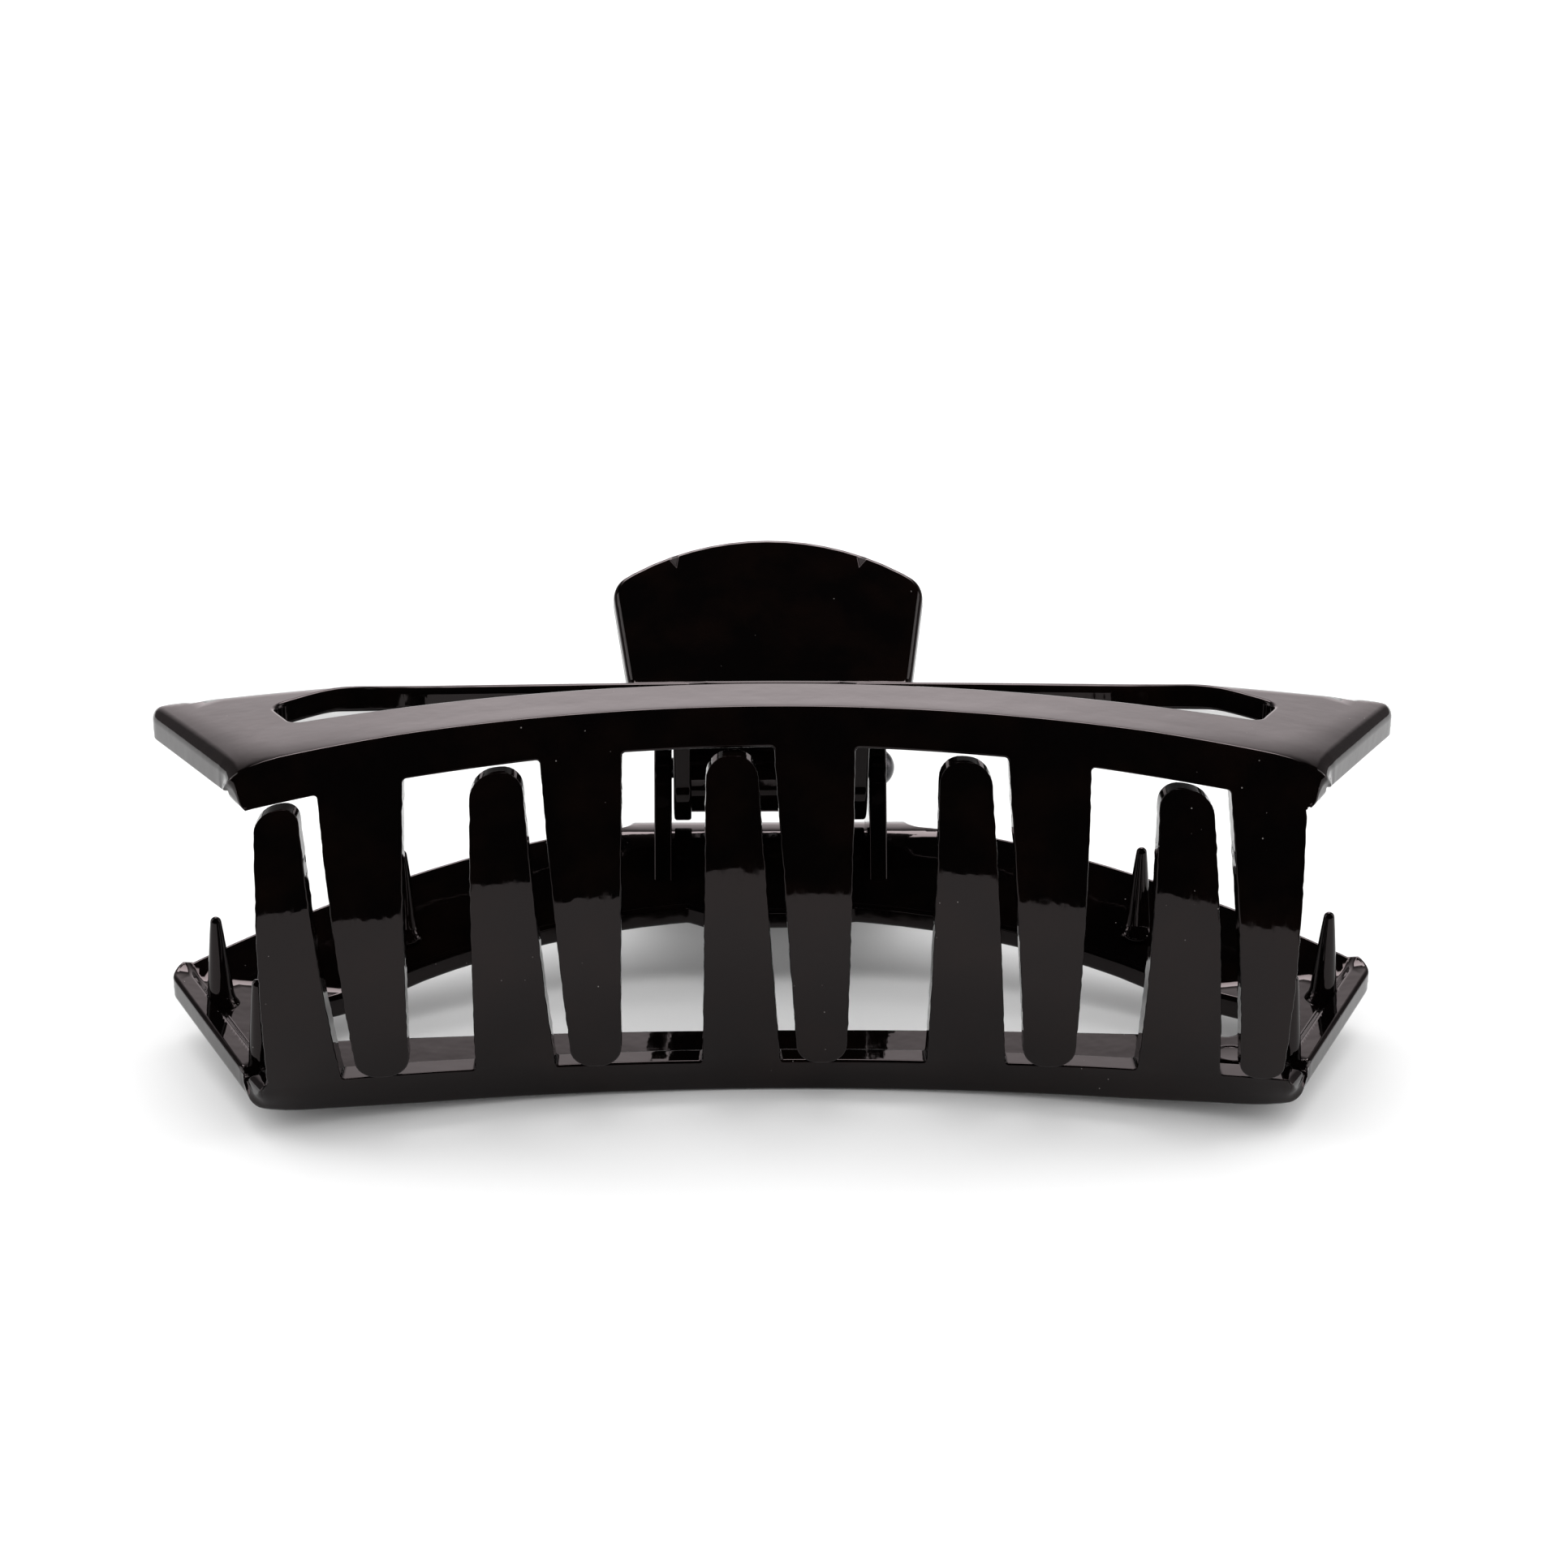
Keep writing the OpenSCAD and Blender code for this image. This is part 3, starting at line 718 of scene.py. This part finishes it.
def jaw_sheet():
    outer = ccw(cleaned(jaw_outline()))
    knee = (np.abs(np.abs(outer[:, 0]) - FRONT_HALF) < 1.6) & (np.abs(outer[:, 1]) < 1.7)
    for _ in range(14):
        middle = (np.roll(outer, 1, 0) + np.roll(outer, -1, 0)) / 2
        outer = np.where(knee[:, None], (outer + middle) / 2, outer)
    slot = ccw(cleaned(jaw_slot()))[::-1]
    rng = np.random.default_rng(7)
    nick = rng.normal(0, 0.022, len(outer)) * (outer[:, 1] < -4.5) * (outer[:, 1] > -31)
    outer = outer + outward(outer) * nick[:, None]

    def rim(p, tooth, plate, end, tab):
        x, v = np.abs(p[:, 0]), p[:, 1]
        on_tooth = np.clip((-v - 2.0) / 2.0, 0, 1)
        on_end = np.clip((x - 44.5) / 3.0, 0, 1) * np.clip((v + 0.5) / 2.5, 0, 1)
        on_tab = np.clip((v - V2 - 1) / 4, 0, 1)
        r = plate + (tooth - plate) * on_tooth + (end - plate) * on_end
        return r + (tab - r) * on_tab

    top = [rim(outer, 0.15, 0.8, 0.9, 0.8), rim(slot, 0.3, 0.42, 0.42, 0.4)]
    rear = np.clip((slot[:, 1] - 14.0) / 3.0, 0, 1)
    top[1] = top[1] + (0.95 - 0.42) * rear
    low = [rim(outer, 0.18, 0.4, 0.35, 0.7), rim(slot, 0.3, 0.4, 0.4, 0.4)]
    rows = list(np.arange(-32.6, -H1, 1.15)) + [-H1, -2.5, -2, -1.5, -1] + list(np.linspace(ARC_V, -ARC_V, 9))
    rows += [1.0, 1.6, 2.2, 2.8, D1]
    cols = np.arange(-54.6, 54.7, 1.2)
    grid = [(x, v) for v in rows for x in cols]
    ys = list(np.arange(-40.6, -22.9, 1.2)) + list(np.arange(-22.2, -19.1, 0.4))
    ys += list(np.arange(-18.3, -3.6, 1.3)) + list(np.arange(-3.2, 3.3, 0.4))
    ys += list(np.arange(4.2, TAB_REACH, 1.3))
    for x in cols:
        grid += [(x, v) for v in (v_plate(x, y) for y in ys) if v > D1 + 0.4]
    grid = np.array(grid)
    back = np.array([y_of(x, EDGE + v) for x, v in grid])
    beside = (np.abs(grid[:, 0]) > 38) & (inward(grid[:, 0], back) < 3.5)
    grid = grid[~(beside & (grid[:, 1] > 0.8) & (grid[:, 1] < V2))]
    lines = []
    for off in (0.95, 1.15, 1.35, 1.55, 1.75, 1.9, 2.05, 2.2, 2.35, 2.5, 2.65, 2.8, 2.95, 3.2):
        for run in np.arange(0.2, 24, 0.5):
            x, y = END_A + END_WAY * run + np.array([-END_WAY[1], END_WAY[0]]) * off
            v = v_plate(x, y)
            if v > 0.9:
                lines += [(x, v), (-x, v)]
    grid = np.vstack([grid, lines])
    return sheet_mesh([outer, slot], top, grid, jaw_place, WALL, rim_seam=0.02, low_radii=low)


def flat_x(x0, t):
    """Places a profile in the (y, z) plane as a plate from x0 to x0 + t."""
    return lambda q: np.stack([x0 + q[:, 2], q[:, 0], q[:, 1]], -1)


def hole(c, r, n):
    """Clockwise circle."""
    a = -np.linspace(0, 2 * math.pi, n, endpoint=False)
    return np.stack([c[0] + r * np.cos(a), c[1] + r * np.sin(a)], 1)


def plate_mid(y):
    return float(np.interp(y, LINE_Y, LINE_Z))


def ear(solid, x0, nose_r, hole_r):
    foot, rear = -8.2, nose_r + 2
    nose = [(nose_r * math.cos(a), nose_r * math.sin(a), 0) for a in np.linspace(math.pi, 2 * math.pi, 26)]
    pts = nose + [(y, plate_mid(y), 0) for y in np.linspace(rear, foot, 14)]
    p = ccw(dense(rounded(pts), 0.5))
    h = hole((0, 0), hole_r, 40)
    ends = np.array([(rear, plate_mid(rear)), (foot, plate_mid(foot))])
    reach = np.min(np.linalg.norm(p[:, None] - ends[None], axis=2), 1)
    radii = [np.clip(0.3 * reach, 0.04, 0.3), np.full(len(h), 0.12)]
    part, faces = sheet_mesh([p, h], radii, None, flat_x(x0, EAR_T), EAR_T)
    solid.add(part, faces)


def guard(solid):
    """Curved cover in front of the coil, concentric with the pin."""
    ro, t = GUARD_R, GUARD_T
    w = 2 * (UP_EAR + 0.4)
    a0, a1 = math.radians(104), math.radians(258)
    run = (a1 - a0) * ro
    rise = GUARD_RISE

    def place(q):
        s = q[:, 1]
        r = ro - t + q[:, 2]
        a = a0 + np.maximum(s, 0) / ro
        y = r * np.cos(a)
        z = r * np.sin(a)
        up = np.minimum(s, 0)
        y = y + up * GUARD_SLOPE
        z = z - up
        return np.stack([q[:, 0], y, z], -1)

    p = np.array([(-w / 2, -rise), (w / 2, -rise), (w / 2, run), (-w / 2, run)])
    p = ccw(dense(p, 0.5))
    cols = np.arange(-w / 2 + 0.5, w / 2, 0.9)
    grid = np.array([(x, s) for s in np.arange(-rise + 0.4, run, 0.45) for x in cols])
    part, faces = sheet_mesh([p], [np.full(len(p), 0.3)], grid, place, t)
    solid.add(part, faces)


def ribs(solid):
    """Two low ribs on the inside of the tab, either side of a spring leg."""
    h, t, l = 1.1, 0.6, 5.5
    base = mid_waist + tab_way * 8.0 - left(tab_way) * (WALL / 2 - 0.3)
    for s in (-1, 1):
        x0 = -COIL_HALF + s * (WIRE_R + 0.2 + t / 2) - t / 2
        c = rounded([(0, 0, 0), (l, 0, 0), (l, -h - 0.3, 0.5), (0, -h - 0.3, 0.5)], 5)
        pts = np.array([base + tab_way * a + left(tab_way) * b for a, b in c])
        p = ccw(dense(pts, 0.4))
        part, faces = sheet_mesh([p], [np.full(len(p), 0.14)], None, flat_x(x0, t), t)
        solid.add(part, faces)


def inner_z(x, y):
    return float(np.interp(y, IN_Y, IN_Z)) - float(drop(x))


SPIKES = [(HALF_L - 4.8, CREASE_Y - 3.9), (HALF_L - 20.5, CREASE_Y + 6.5), (FRONT_HALF, FRONT_Y - 2.2)]


def spikes(solid):
    r, t, h = SPIKE_R, SPIKE_TIP_R, SPIKE_H
    prof = [(0.02, -1.1), (r + 0.55, -1.1), (r + 0.5, -0.2), (r + 0.3, 0.12), (r + 0.12, 0.42), (r, 0.9)]
    prof += [(r + (t + 0.02 - r) * (k / 6), 0.9 + (h - t - 0.9) * k / 6) for k in range(1, 6)]
    prof += [(t * math.cos(a), h - t + t * math.sin(a)) for a in np.linspace(0, math.pi / 2 * 0.98, 8)]
    for k, (x, y) in enumerate(SPIKES):
        for s in (-1, 1):
            z = inner_z(x, y)
            place = lambda q, x=x, y=y, z=z, s=s: np.stack([s * x + q[:, 0], y + q[:, 1], z - q[:, 2]], -1)
            part, faces = lathe(prof, place, 36)
            solid.add(part, faces)


def mould_mark(solid):
    x, y = -FRONT_HALF + 4.6, FRONT_Y - 0.6
    z = inner_z(x, y)
    prof = [(0.02, -0.6), (1.72, -0.6), (1.7, 0.2), (1.66, 0.3), (1.58, 0.35)]
    prof += [(1.35, 0.36), (1.27, 0.31), (1.2, 0.24), (0.02, 0.24)]
    place = lambda q: np.stack([x + q[:, 0], y + q[:, 1], z - q[:, 2]], -1)
    part, faces = lathe(prof, place, 48)
    solid.add(part, faces)


# ---------- materials ----------
def node_tree(name):
    m = bpy.data.materials.new(name)
    m.use_nodes = True
    nt = m.node_tree
    b = nt.nodes["Principled BSDF"]
    return m, nt, b


def add(nt, kind, **values):
    n = nt.nodes.new(kind)
    for k, v in values.items():
        if k.startswith("in_"):
            n.inputs[k[3:].replace("_", " ")].default_value = v
        else:
            setattr(n, k, v)
    return n


def black_plastic():
    """Polished black moulding: slow ripples, fine rubbed scratches, a few specks of dust."""
    m, nt, b = node_tree("gloss_black_plastic")
    link = nt.links.new
    coord = add(nt, "ShaderNodeTexCoord")
    pos = coord.outputs["Object"]
    b.inputs["IOR"].default_value = 1.47
    b.inputs["Specular IOR Level"].default_value = 0.25
    b.inputs["Specular Tint"].default_value = (1.0, 0.88, 0.88, 1)

    cloud = add(nt, "ShaderNodeTexNoise", in_Scale=170.0, in_Detail=3.0, in_Roughness=0.55)
    link(pos, cloud.inputs["Vector"])
    tint = add(nt, "ShaderNodeValToRGB")
    tint.color_ramp.elements[0].position = 0.42
    tint.color_ramp.elements[0].color = (0.0011, 0.0008, 0.0008, 1)
    tint.color_ramp.elements[1].position = 0.78
    tint.color_ramp.elements[1].color = (0.0032, 0.0017, 0.0013, 1)
    link(cloud.outputs["Fac"], tint.inputs["Fac"])

    dust = add(nt, "ShaderNodeTexVoronoi", in_Scale=800.0)
    dust.feature = "F1"
    link(pos, dust.inputs["Vector"])
    speck = add(nt, "ShaderNodeMapRange", in_From_Min=0.06, in_From_Max=0.035)
    link(dust.outputs["Distance"], speck.inputs["Value"])
    pick = add(nt, "ShaderNodeTexNoise", in_Scale=95.0, in_Detail=1.0)
    link(pos, pick.inputs["Vector"])
    where = add(nt, "ShaderNodeMapRange", in_From_Min=0.56, in_From_Max=0.6)
    link(pick.outputs["Fac"], where.inputs["Value"])
    both = add(nt, "ShaderNodeMath", operation="MULTIPLY")
    link(speck.outputs["Result"], both.inputs[0])
    link(where.outputs["Result"], both.inputs[1])
    mix = add(nt, "ShaderNodeMix", data_type="RGBA")
    mix.inputs["B"].default_value = (0.16, 0.15, 0.145, 1)
    link(both.outputs["Value"], mix.inputs["Factor"])
    link(tint.outputs["Color"], mix.inputs["A"])
    link(mix.outputs["Result"], b.inputs["Base Color"])

    rub = add(nt, "ShaderNodeMapping")
    rub.inputs["Scale"].default_value = (2200.0, 260.0, 420.0)
    rub.inputs["Rotation"].default_value = (0.3, 0.5, 0.9)
    link(pos, rub.inputs["Vector"])
    scratch = add(nt, "ShaderNodeTexNoise", in_Scale=1.0, in_Detail=2.0, in_Roughness=0.7)
    link(rub.outputs["Vector"], scratch.inputs["Vector"])
    fine = add(nt, "ShaderNodeMapRange", in_From_Min=0.45, in_From_Max=0.85, in_To_Min=0.02, in_To_Max=0.1)
    link(scratch.outputs["Fac"], fine.inputs["Value"])
    haze = add(nt, "ShaderNodeMapRange", in_From_Min=0.35, in_From_Max=0.75, in_To_Min=0.0, in_To_Max=0.03)
    link(cloud.outputs["Fac"], haze.inputs["Value"])
    rough = add(nt, "ShaderNodeMath", operation="ADD")
    link(fine.outputs["Result"], rough.inputs[0])
    link(haze.outputs["Result"], rough.inputs[1])
    dusty = add(nt, "ShaderNodeMath", operation="MULTIPLY_ADD")
    dusty.inputs[1].default_value = 0.5
    link(both.outputs["Value"], dusty.inputs[0])
    link(rough.outputs["Value"], dusty.inputs[2])
    link(dusty.outputs["Value"], b.inputs["Roughness"])

    slow = add(nt, "ShaderNodeTexNoise", in_Scale=190.0, in_Detail=3.0, in_Roughness=0.5)
    link(pos, slow.inputs["Vector"])
    ripple = add(nt, "ShaderNodeBump", in_Strength=0.6, in_Distance=0.00009)
    link(slow.outputs["Fac"], ripple.inputs["Height"])
    line_bump = add(nt, "ShaderNodeBump", in_Strength=0.22, in_Distance=0.000006)
    link(scratch.outputs["Fac"], line_bump.inputs["Height"])
    link(ripple.outputs["Normal"], line_bump.inputs["Normal"])
    link(line_bump.outputs["Normal"], b.inputs["Normal"])
    return m


def metal(name, base, rough_lo, rough_hi, scale, bump):
    m, nt, b = node_tree(name)
    link = nt.links.new
    coord = add(nt, "ShaderNodeTexCoord")
    b.inputs["Metallic"].default_value = 1.0
    grain = add(nt, "ShaderNodeMapping")
    grain.inputs["Scale"].default_value = scale
    link(coord.outputs["Object"], grain.inputs["Vector"])
    noise = add(nt, "ShaderNodeTexNoise", in_Scale=1.0, in_Detail=4.0, in_Roughness=0.65)
    link(grain.outputs["Vector"], noise.inputs["Vector"])
    ramp = add(nt, "ShaderNodeValToRGB")
    ramp.color_ramp.elements[0].position = 0.3
    ramp.color_ramp.elements[0].color = tuple(c * 0.7 for c in base) + (1,)
    ramp.color_ramp.elements[1].position = 0.7
    ramp.color_ramp.elements[1].color = tuple(base) + (1,)
    link(noise.outputs["Fac"], ramp.inputs["Fac"])
    link(ramp.outputs["Color"], b.inputs["Base Color"])
    rough = add(nt, "ShaderNodeMapRange", in_From_Min=0.3, in_From_Max=0.7,
                in_To_Min=rough_lo, in_To_Max=rough_hi)
    link(noise.outputs["Fac"], rough.inputs["Value"])
    link(rough.outputs["Result"], b.inputs["Roughness"])
    bp = add(nt, "ShaderNodeBump", in_Strength=0.35, in_Distance=bump)
    link(noise.outputs["Fac"], bp.inputs["Height"])
    link(bp.outputs["Normal"], b.inputs["Normal"])
    return m


plastic = black_plastic()
pin_steel = metal("blackened_steel", (0.05, 0.05, 0.053), 0.2, 0.38, (900, 2600, 2600), 0.000008)
wire_steel = metal("spring_wire_steel", (0.58, 0.58, 0.6), 0.18, 0.34, (2500, 2500, 2500), 0.000006)

# ---------- pieces ----------
sheet_part, sheet_faces = jaw_sheet()

upper = Solid()
upper.add(sheet_part, sheet_faces)
ear(upper, UP_EAR, NOSE_R, PIN_R + 0.05)
ear(upper, -UP_EAR - EAR_T, NOSE_R, PIN_R + 0.05)
guard(upper)
ribs(upper)
upper_obj = upper.build("upper_jaw_moulding", plastic)
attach(upper_obj, "upper")
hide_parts("upper_jaw")

lower = Solid(flip=True)
lower.add(sheet_part, sheet_faces)
ear(lower, LOW_EAR, EAR_R, PIN_R + 0.005)
ear(lower, -LOW_EAR - EAR_T, EAR_R, PIN_R + 0.005)
ribs(lower)
spikes(lower)
mould_mark(lower)
lower_obj = lower.build("lower_jaw_moulding", plastic)
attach(lower_obj, "lower")
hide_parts("lower_jaw")


def pin_piece():
    s = Solid()
    half = EAR_SPAN / 2
    dome_r = (HEAD_R ** 2 + HEAD_H ** 2) / 2 / HEAD_H
    prof = [(0.02, -half), (PIN_R - 0.15, -half), (PIN_R - 0.05, -half + 0.04), (PIN_R, -half + 0.15)]
    prof += [(PIN_R, -half + 0.15 + (2 * half - 0.2) * k / 8) for k in range(1, 8)]
    prof += [(PIN_R, half - 0.06), (PIN_R + 0.02, half), (HEAD_R - 0.1, half), (HEAD_R - 0.02, half + 0.04)]
    a_max = math.asin(HEAD_R / dome_r)
    for a in np.linspace(a_max * 0.985, 0.01, 14):
        prof.append((dome_r * math.sin(a), half + HEAD_H - dome_r + dome_r * math.cos(a)))
    place = lambda q: np.stack([q[:, 2], q[:, 0], q[:, 1]], -1)
    part, faces = lathe(prof, place, 56)
    s.add(part, faces)
    ob = s.build("hinge_pin_rivet", pin_steel)
    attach(ob, "lower")
    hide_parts("hinge_pin")


pin_piece()


def spring_piece():
    """Coil round the pin with a straight leg along each finger tab."""
    turns, reach = 10, 12.0
    tip = mid_waist + tab_way * reach / math.cos(TAB_A) - (WALL / 2 + WIRE_R + 0.06) * left(tab_way)
    leave = math.atan2(tip[1], tip[0]) + math.acos(COIL_R / np.linalg.norm(tip))
    sweep = 2 * math.pi * (turns + 1) - 2 * leave
    steps = 26 * turns
    start = np.array([-COIL_HALF, COIL_R * math.cos(leave), COIL_R * math.sin(leave)])
    end = np.array([COIL_HALF, COIL_R * math.cos(leave + sweep), COIL_R * math.sin(leave + sweep)])
    tip_a = np.array([-COIL_HALF, tip[0], tip[1]])
    tip_b = np.array([COIL_HALF, tip[0], -tip[1]])
    path = [tip_a + (start - tip_a) * k / 12 for k in range(12)]
    for k in range(steps + 1):
        a = leave + sweep * k / steps
        x = -COIL_HALF + 2 * COIL_HALF * k / steps
        path.append(np.array([x, COIL_R * math.cos(a), COIL_R * math.sin(a)]))
    path += [end + (tip_b - end) * k / 12 for k in range(1, 13)]
    path = np.array(path)
    tang = np.gradient(path, axis=0)
    tang /= np.linalg.norm(tang, axis=1)[:, None]
    sides = 14
    v, n, f = [], [], []

    def ring(c, t, r, lean):
        a = np.cross(t, [1.0, 0, 0])
        a /= np.linalg.norm(a)
        b = np.cross(t, a)
        for k in range(sides):
            q = 2 * math.pi * k / sides
            d = a * math.cos(q) + b * math.sin(q)
            v.append(c + d * r)
            m = d * math.cos(lean) + t * math.sin(lean)
            n.append(m)

    ring(path[0], tang[0], 0.02, -1.5)
    ring(path[0], tang[0], WIRE_R - 0.1, -1.1)
    ring(path[0] + tang[0] * 0.1, tang[0], WIRE_R, -0.3)
    for c, t in zip(path[1:-1], tang[1:-1]):
        ring(c, t, WIRE_R, 0)
    ring(path[-1] - tang[-1] * 0.1, tang[-1], WIRE_R, 0.3)
    ring(path[-1], tang[-1], WIRE_R - 0.1, 1.1)
    ring(path[-1], tang[-1], 0.02, 1.5)
    rings = len(v) // sides
    for i in range(rings - 1):
        for k in range(sides):
            q = (k + 1) % sides
            f.append((i * sides + k, i * sides + q, (i + 1) * sides + q, (i + 1) * sides + k))
    f.append(tuple(range(sides))[::-1])
    f.append(tuple((rings - 1) * sides + k for k in range(sides)))
    s = Solid()
    s.add((np.array(v), np.array(n), np.array([1.0])), f)
    ob = s.build("closing_spring", wire_steel)
    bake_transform(ob)
    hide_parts("torsion_spring")


spring_piece()

# ---------- floor, light and camera ----------
VIEW_TILT, VIEW_YAW, VIEW_ROLL = math.radians(22), math.radians(1.53), math.radians(0.39)
EYE = Vector((-5.71, -265.55 + PIN_Y, 105.59 + PIN_Z)) * MM


def camera():
    cam = bpy.data.cameras.new("photo_camera")
    cam.lens = 67.5
    cam.sensor_width = 36
    cam.clip_start = 0.01
    cam.clip_end = 200
    ob = bpy.data.objects.new("photo_camera", cam)
    bpy.context.scene.collection.objects.link(ob)
    yaw = Matrix.Rotation(VIEW_YAW, 3, "Z")
    sine, cosine = math.sin(VIEW_TILT), math.cos(VIEW_TILT)
    tilt = Matrix(((1, 0, 0), (0, -sine, -cosine), (0, cosine, -sine)))
    roll = Matrix.Rotation(VIEW_ROLL, 3, "Z")
    r = roll @ tilt @ yaw
    right, down, ahead = r[0], r[1], r[2]
    m = Matrix((right, -down, -ahead)).transposed().to_4x4()
    m.translation = EYE
    ob.matrix_world = m
    bpy.context.scene.camera = ob


camera()
bpy.context.scene.view_settings.view_transform = "Standard"


def floor():
    mesh = bpy.data.meshes.new("studio_floor")
    r = 30.0
    n = 64
    turns = [2 * math.pi * k / n for k in range(n)]
    v = [(0, 0, 0)] + [(r * math.cos(a), r * math.sin(a), 0) for a in turns]
    mesh.from_pydata(v, [], [(0, 1 + k, 1 + (k + 1) % n) for k in range(n)])
    ob = bpy.data.objects.new("studio_floor", mesh)
    ob.location.z = CAD_BOX[0][2] - 0.00002
    bpy.context.scene.collection.objects.link(ob)
    m, nt, b = node_tree("pale_floor")
    b.inputs["Base Color"].default_value = (0.93, 0.93, 0.93, 1)
    b.inputs["Roughness"].default_value = 0.9
    b.inputs["Specular IOR Level"].default_value = 0.1
    mesh.materials.append(m)


floor()


def flag():
    """Black card in front of the clip. It shows only in the gloss."""
    mesh = bpy.data.meshes.new("studio_flag")
    y = CAD_BOX[0][1] - 0.065
    mesh.from_pydata([(-1.5, y, -0.001), (1.5, y, -0.001), (1.5, y, 1.2), (-1.5, y, 1.2)], [], [(0, 1, 2, 3)])
    ob = bpy.data.objects.new("studio_flag", mesh)
    bpy.context.scene.collection.objects.link(ob)
    m, nt, b = node_tree("flag_black")
    b.inputs["Base Color"].default_value = (0.004, 0.004, 0.004, 1)
    b.inputs["Roughness"].default_value = 1.0
    b.inputs["Specular IOR Level"].default_value = 0.0
    mesh.materials.append(m)
    ob.visible_camera = False
    ob.visible_diffuse = False
    ob.visible_shadow = False
    ob.visible_transmission = False


flag()


def world():
    w = bpy.data.worlds.new("studio")
    bpy.context.scene.world = w
    w.use_nodes = True
    nt = w.node_tree
    link = nt.links.new
    bg = nt.nodes["Background"]
    geo = add(nt, "ShaderNodeTexCoord")
    xyz = add(nt, "ShaderNodeSeparateXYZ")
    link(geo.outputs["Generated"], xyz.inputs["Vector"])
    back = add(nt, "ShaderNodeMapRange", in_From_Min=-0.1, in_From_Max=0.5, in_To_Min=0.0, in_To_Max=1.0)
    link(xyz.outputs["Y"], back.inputs["Value"])
    high = add(nt, "ShaderNodeMapRange", in_From_Min=0.72, in_From_Max=0.5, in_To_Min=0.0, in_To_Max=1.0)
    link(xyz.outputs["Z"], high.inputs["Value"])
    both = add(nt, "ShaderNodeMath", operation="MULTIPLY")
    link(back.outputs["Result"], both.inputs[0])
    link(high.outputs["Result"], both.inputs[1])
    glow = add(nt, "ShaderNodeMapRange", in_To_Min=0.01, in_To_Max=1.9)
    link(both.outputs["Value"], glow.inputs["Value"])
    side = add(nt, "ShaderNodeMath", operation="ABSOLUTE")
    link(xyz.outputs["X"], side.inputs[0])
    centre = add(nt, "ShaderNodeMapRange", in_From_Min=0.1, in_From_Max=0.55, in_To_Min=1.0, in_To_Max=0.12)
    link(side.outputs["Value"], centre.inputs["Value"])
    wall = add(nt, "ShaderNodeMath", operation="MULTIPLY")
    link(glow.outputs["Result"], wall.inputs[0])
    link(centre.outputs["Result"], wall.inputs[1])
    # a narrow strip light high up at the back and a tall one at each side
    strip = add(nt, "ShaderNodeValToRGB")
    ramp = strip.color_ramp
    ramp.elements[0].position = 0.70
    ramp.elements[0].color = (0, 0, 0, 1)
    ramp.elements[1].position = 0.90
    ramp.elements[1].color = (0, 0, 0, 1)
    for at in (0.73, 0.88):
        ramp.elements.new(at).color = (1, 1, 1, 1)
    link(xyz.outputs["Z"], strip.inputs["Fac"])
    middle = add(nt, "ShaderNodeMapRange", in_From_Min=0.2, in_From_Max=0.34, in_To_Min=1.0, in_To_Max=0.0)
    link(side.outputs["Value"], middle.inputs["Value"])
    rear = add(nt, "ShaderNodeMath", operation="MULTIPLY")
    link(back.outputs["Result"], rear.inputs[0])
    link(middle.outputs["Result"], rear.inputs[1])
    high_strip = add(nt, "ShaderNodeMath", operation="MULTIPLY")
    link(strip.outputs["Color"], high_strip.inputs[0])
    link(rear.outputs["Value"], high_strip.inputs[1])
    edge = add(nt, "ShaderNodeMapRange", in_From_Min=0.92, in_From_Max=0.97, in_To_Min=0.0, in_To_Max=3.0)
    link(side.outputs["Value"], edge.inputs["Value"])
    strips = add(nt, "ShaderNodeMath", operation="MULTIPLY_ADD")
    strips.inputs[1].default_value = 12.0
    link(high_strip.outputs["Value"], strips.inputs[0])
    link(edge.outputs["Result"], strips.inputs[2])
    gloss = add(nt, "ShaderNodeMath", operation="ADD")
    link(wall.outputs["Value"], gloss.inputs[0])
    link(strips.outputs["Value"], gloss.inputs[1])
    ray = add(nt, "ShaderNodeLightPath")
    mix = add(nt, "ShaderNodeMix", data_type="FLOAT")
    mix.inputs[2].default_value = 1.0
    link(ray.outputs["Is Glossy Ray"], mix.inputs[0])
    link(gloss.outputs["Value"], mix.inputs[3])
    link(mix.outputs[0], bg.inputs["Strength"])
    tone = add(nt, "ShaderNodeMix", data_type="RGBA")
    tone.inputs["A"].default_value = (1.0, 1.0, 1.0, 1)
    tone.inputs["B"].default_value = (1.0, 0.9, 0.915, 1)
    link(ray.outputs["Is Glossy Ray"], tone.inputs["Factor"])
    link(tone.outputs["Result"], bg.inputs["Color"])


world()


def soft_light(name, place, target, size, power, glossy=True):
    d = bpy.data.lights.new(name, "AREA")
    d.shape = "RECTANGLE"
    d.size, d.size_y = size
    d.energy = power
    ob = bpy.data.objects.new(name, d)
    ob.location = place
    way = Vector(target) - Vector(place)
    ob.rotation_euler = way.to_track_quat("-Z", "Y").to_euler()
    ob.visible_glossy = glossy
    bpy.context.scene.collection.objects.link(ob)
    return ob


MID = Vector((0, 0, 0.018))
soft_light("overhead", (0, 0.1, 0.9), MID, (0.9, 0.9), 3.0, glossy=False)
soft_light("left_strip", (-0.75, 0.15, 0.45), MID, (0.35, 0.7), 1.6)
soft_light("right_strip", (0.75, 0.15, 0.45), MID, (0.35, 0.7), 1.6)
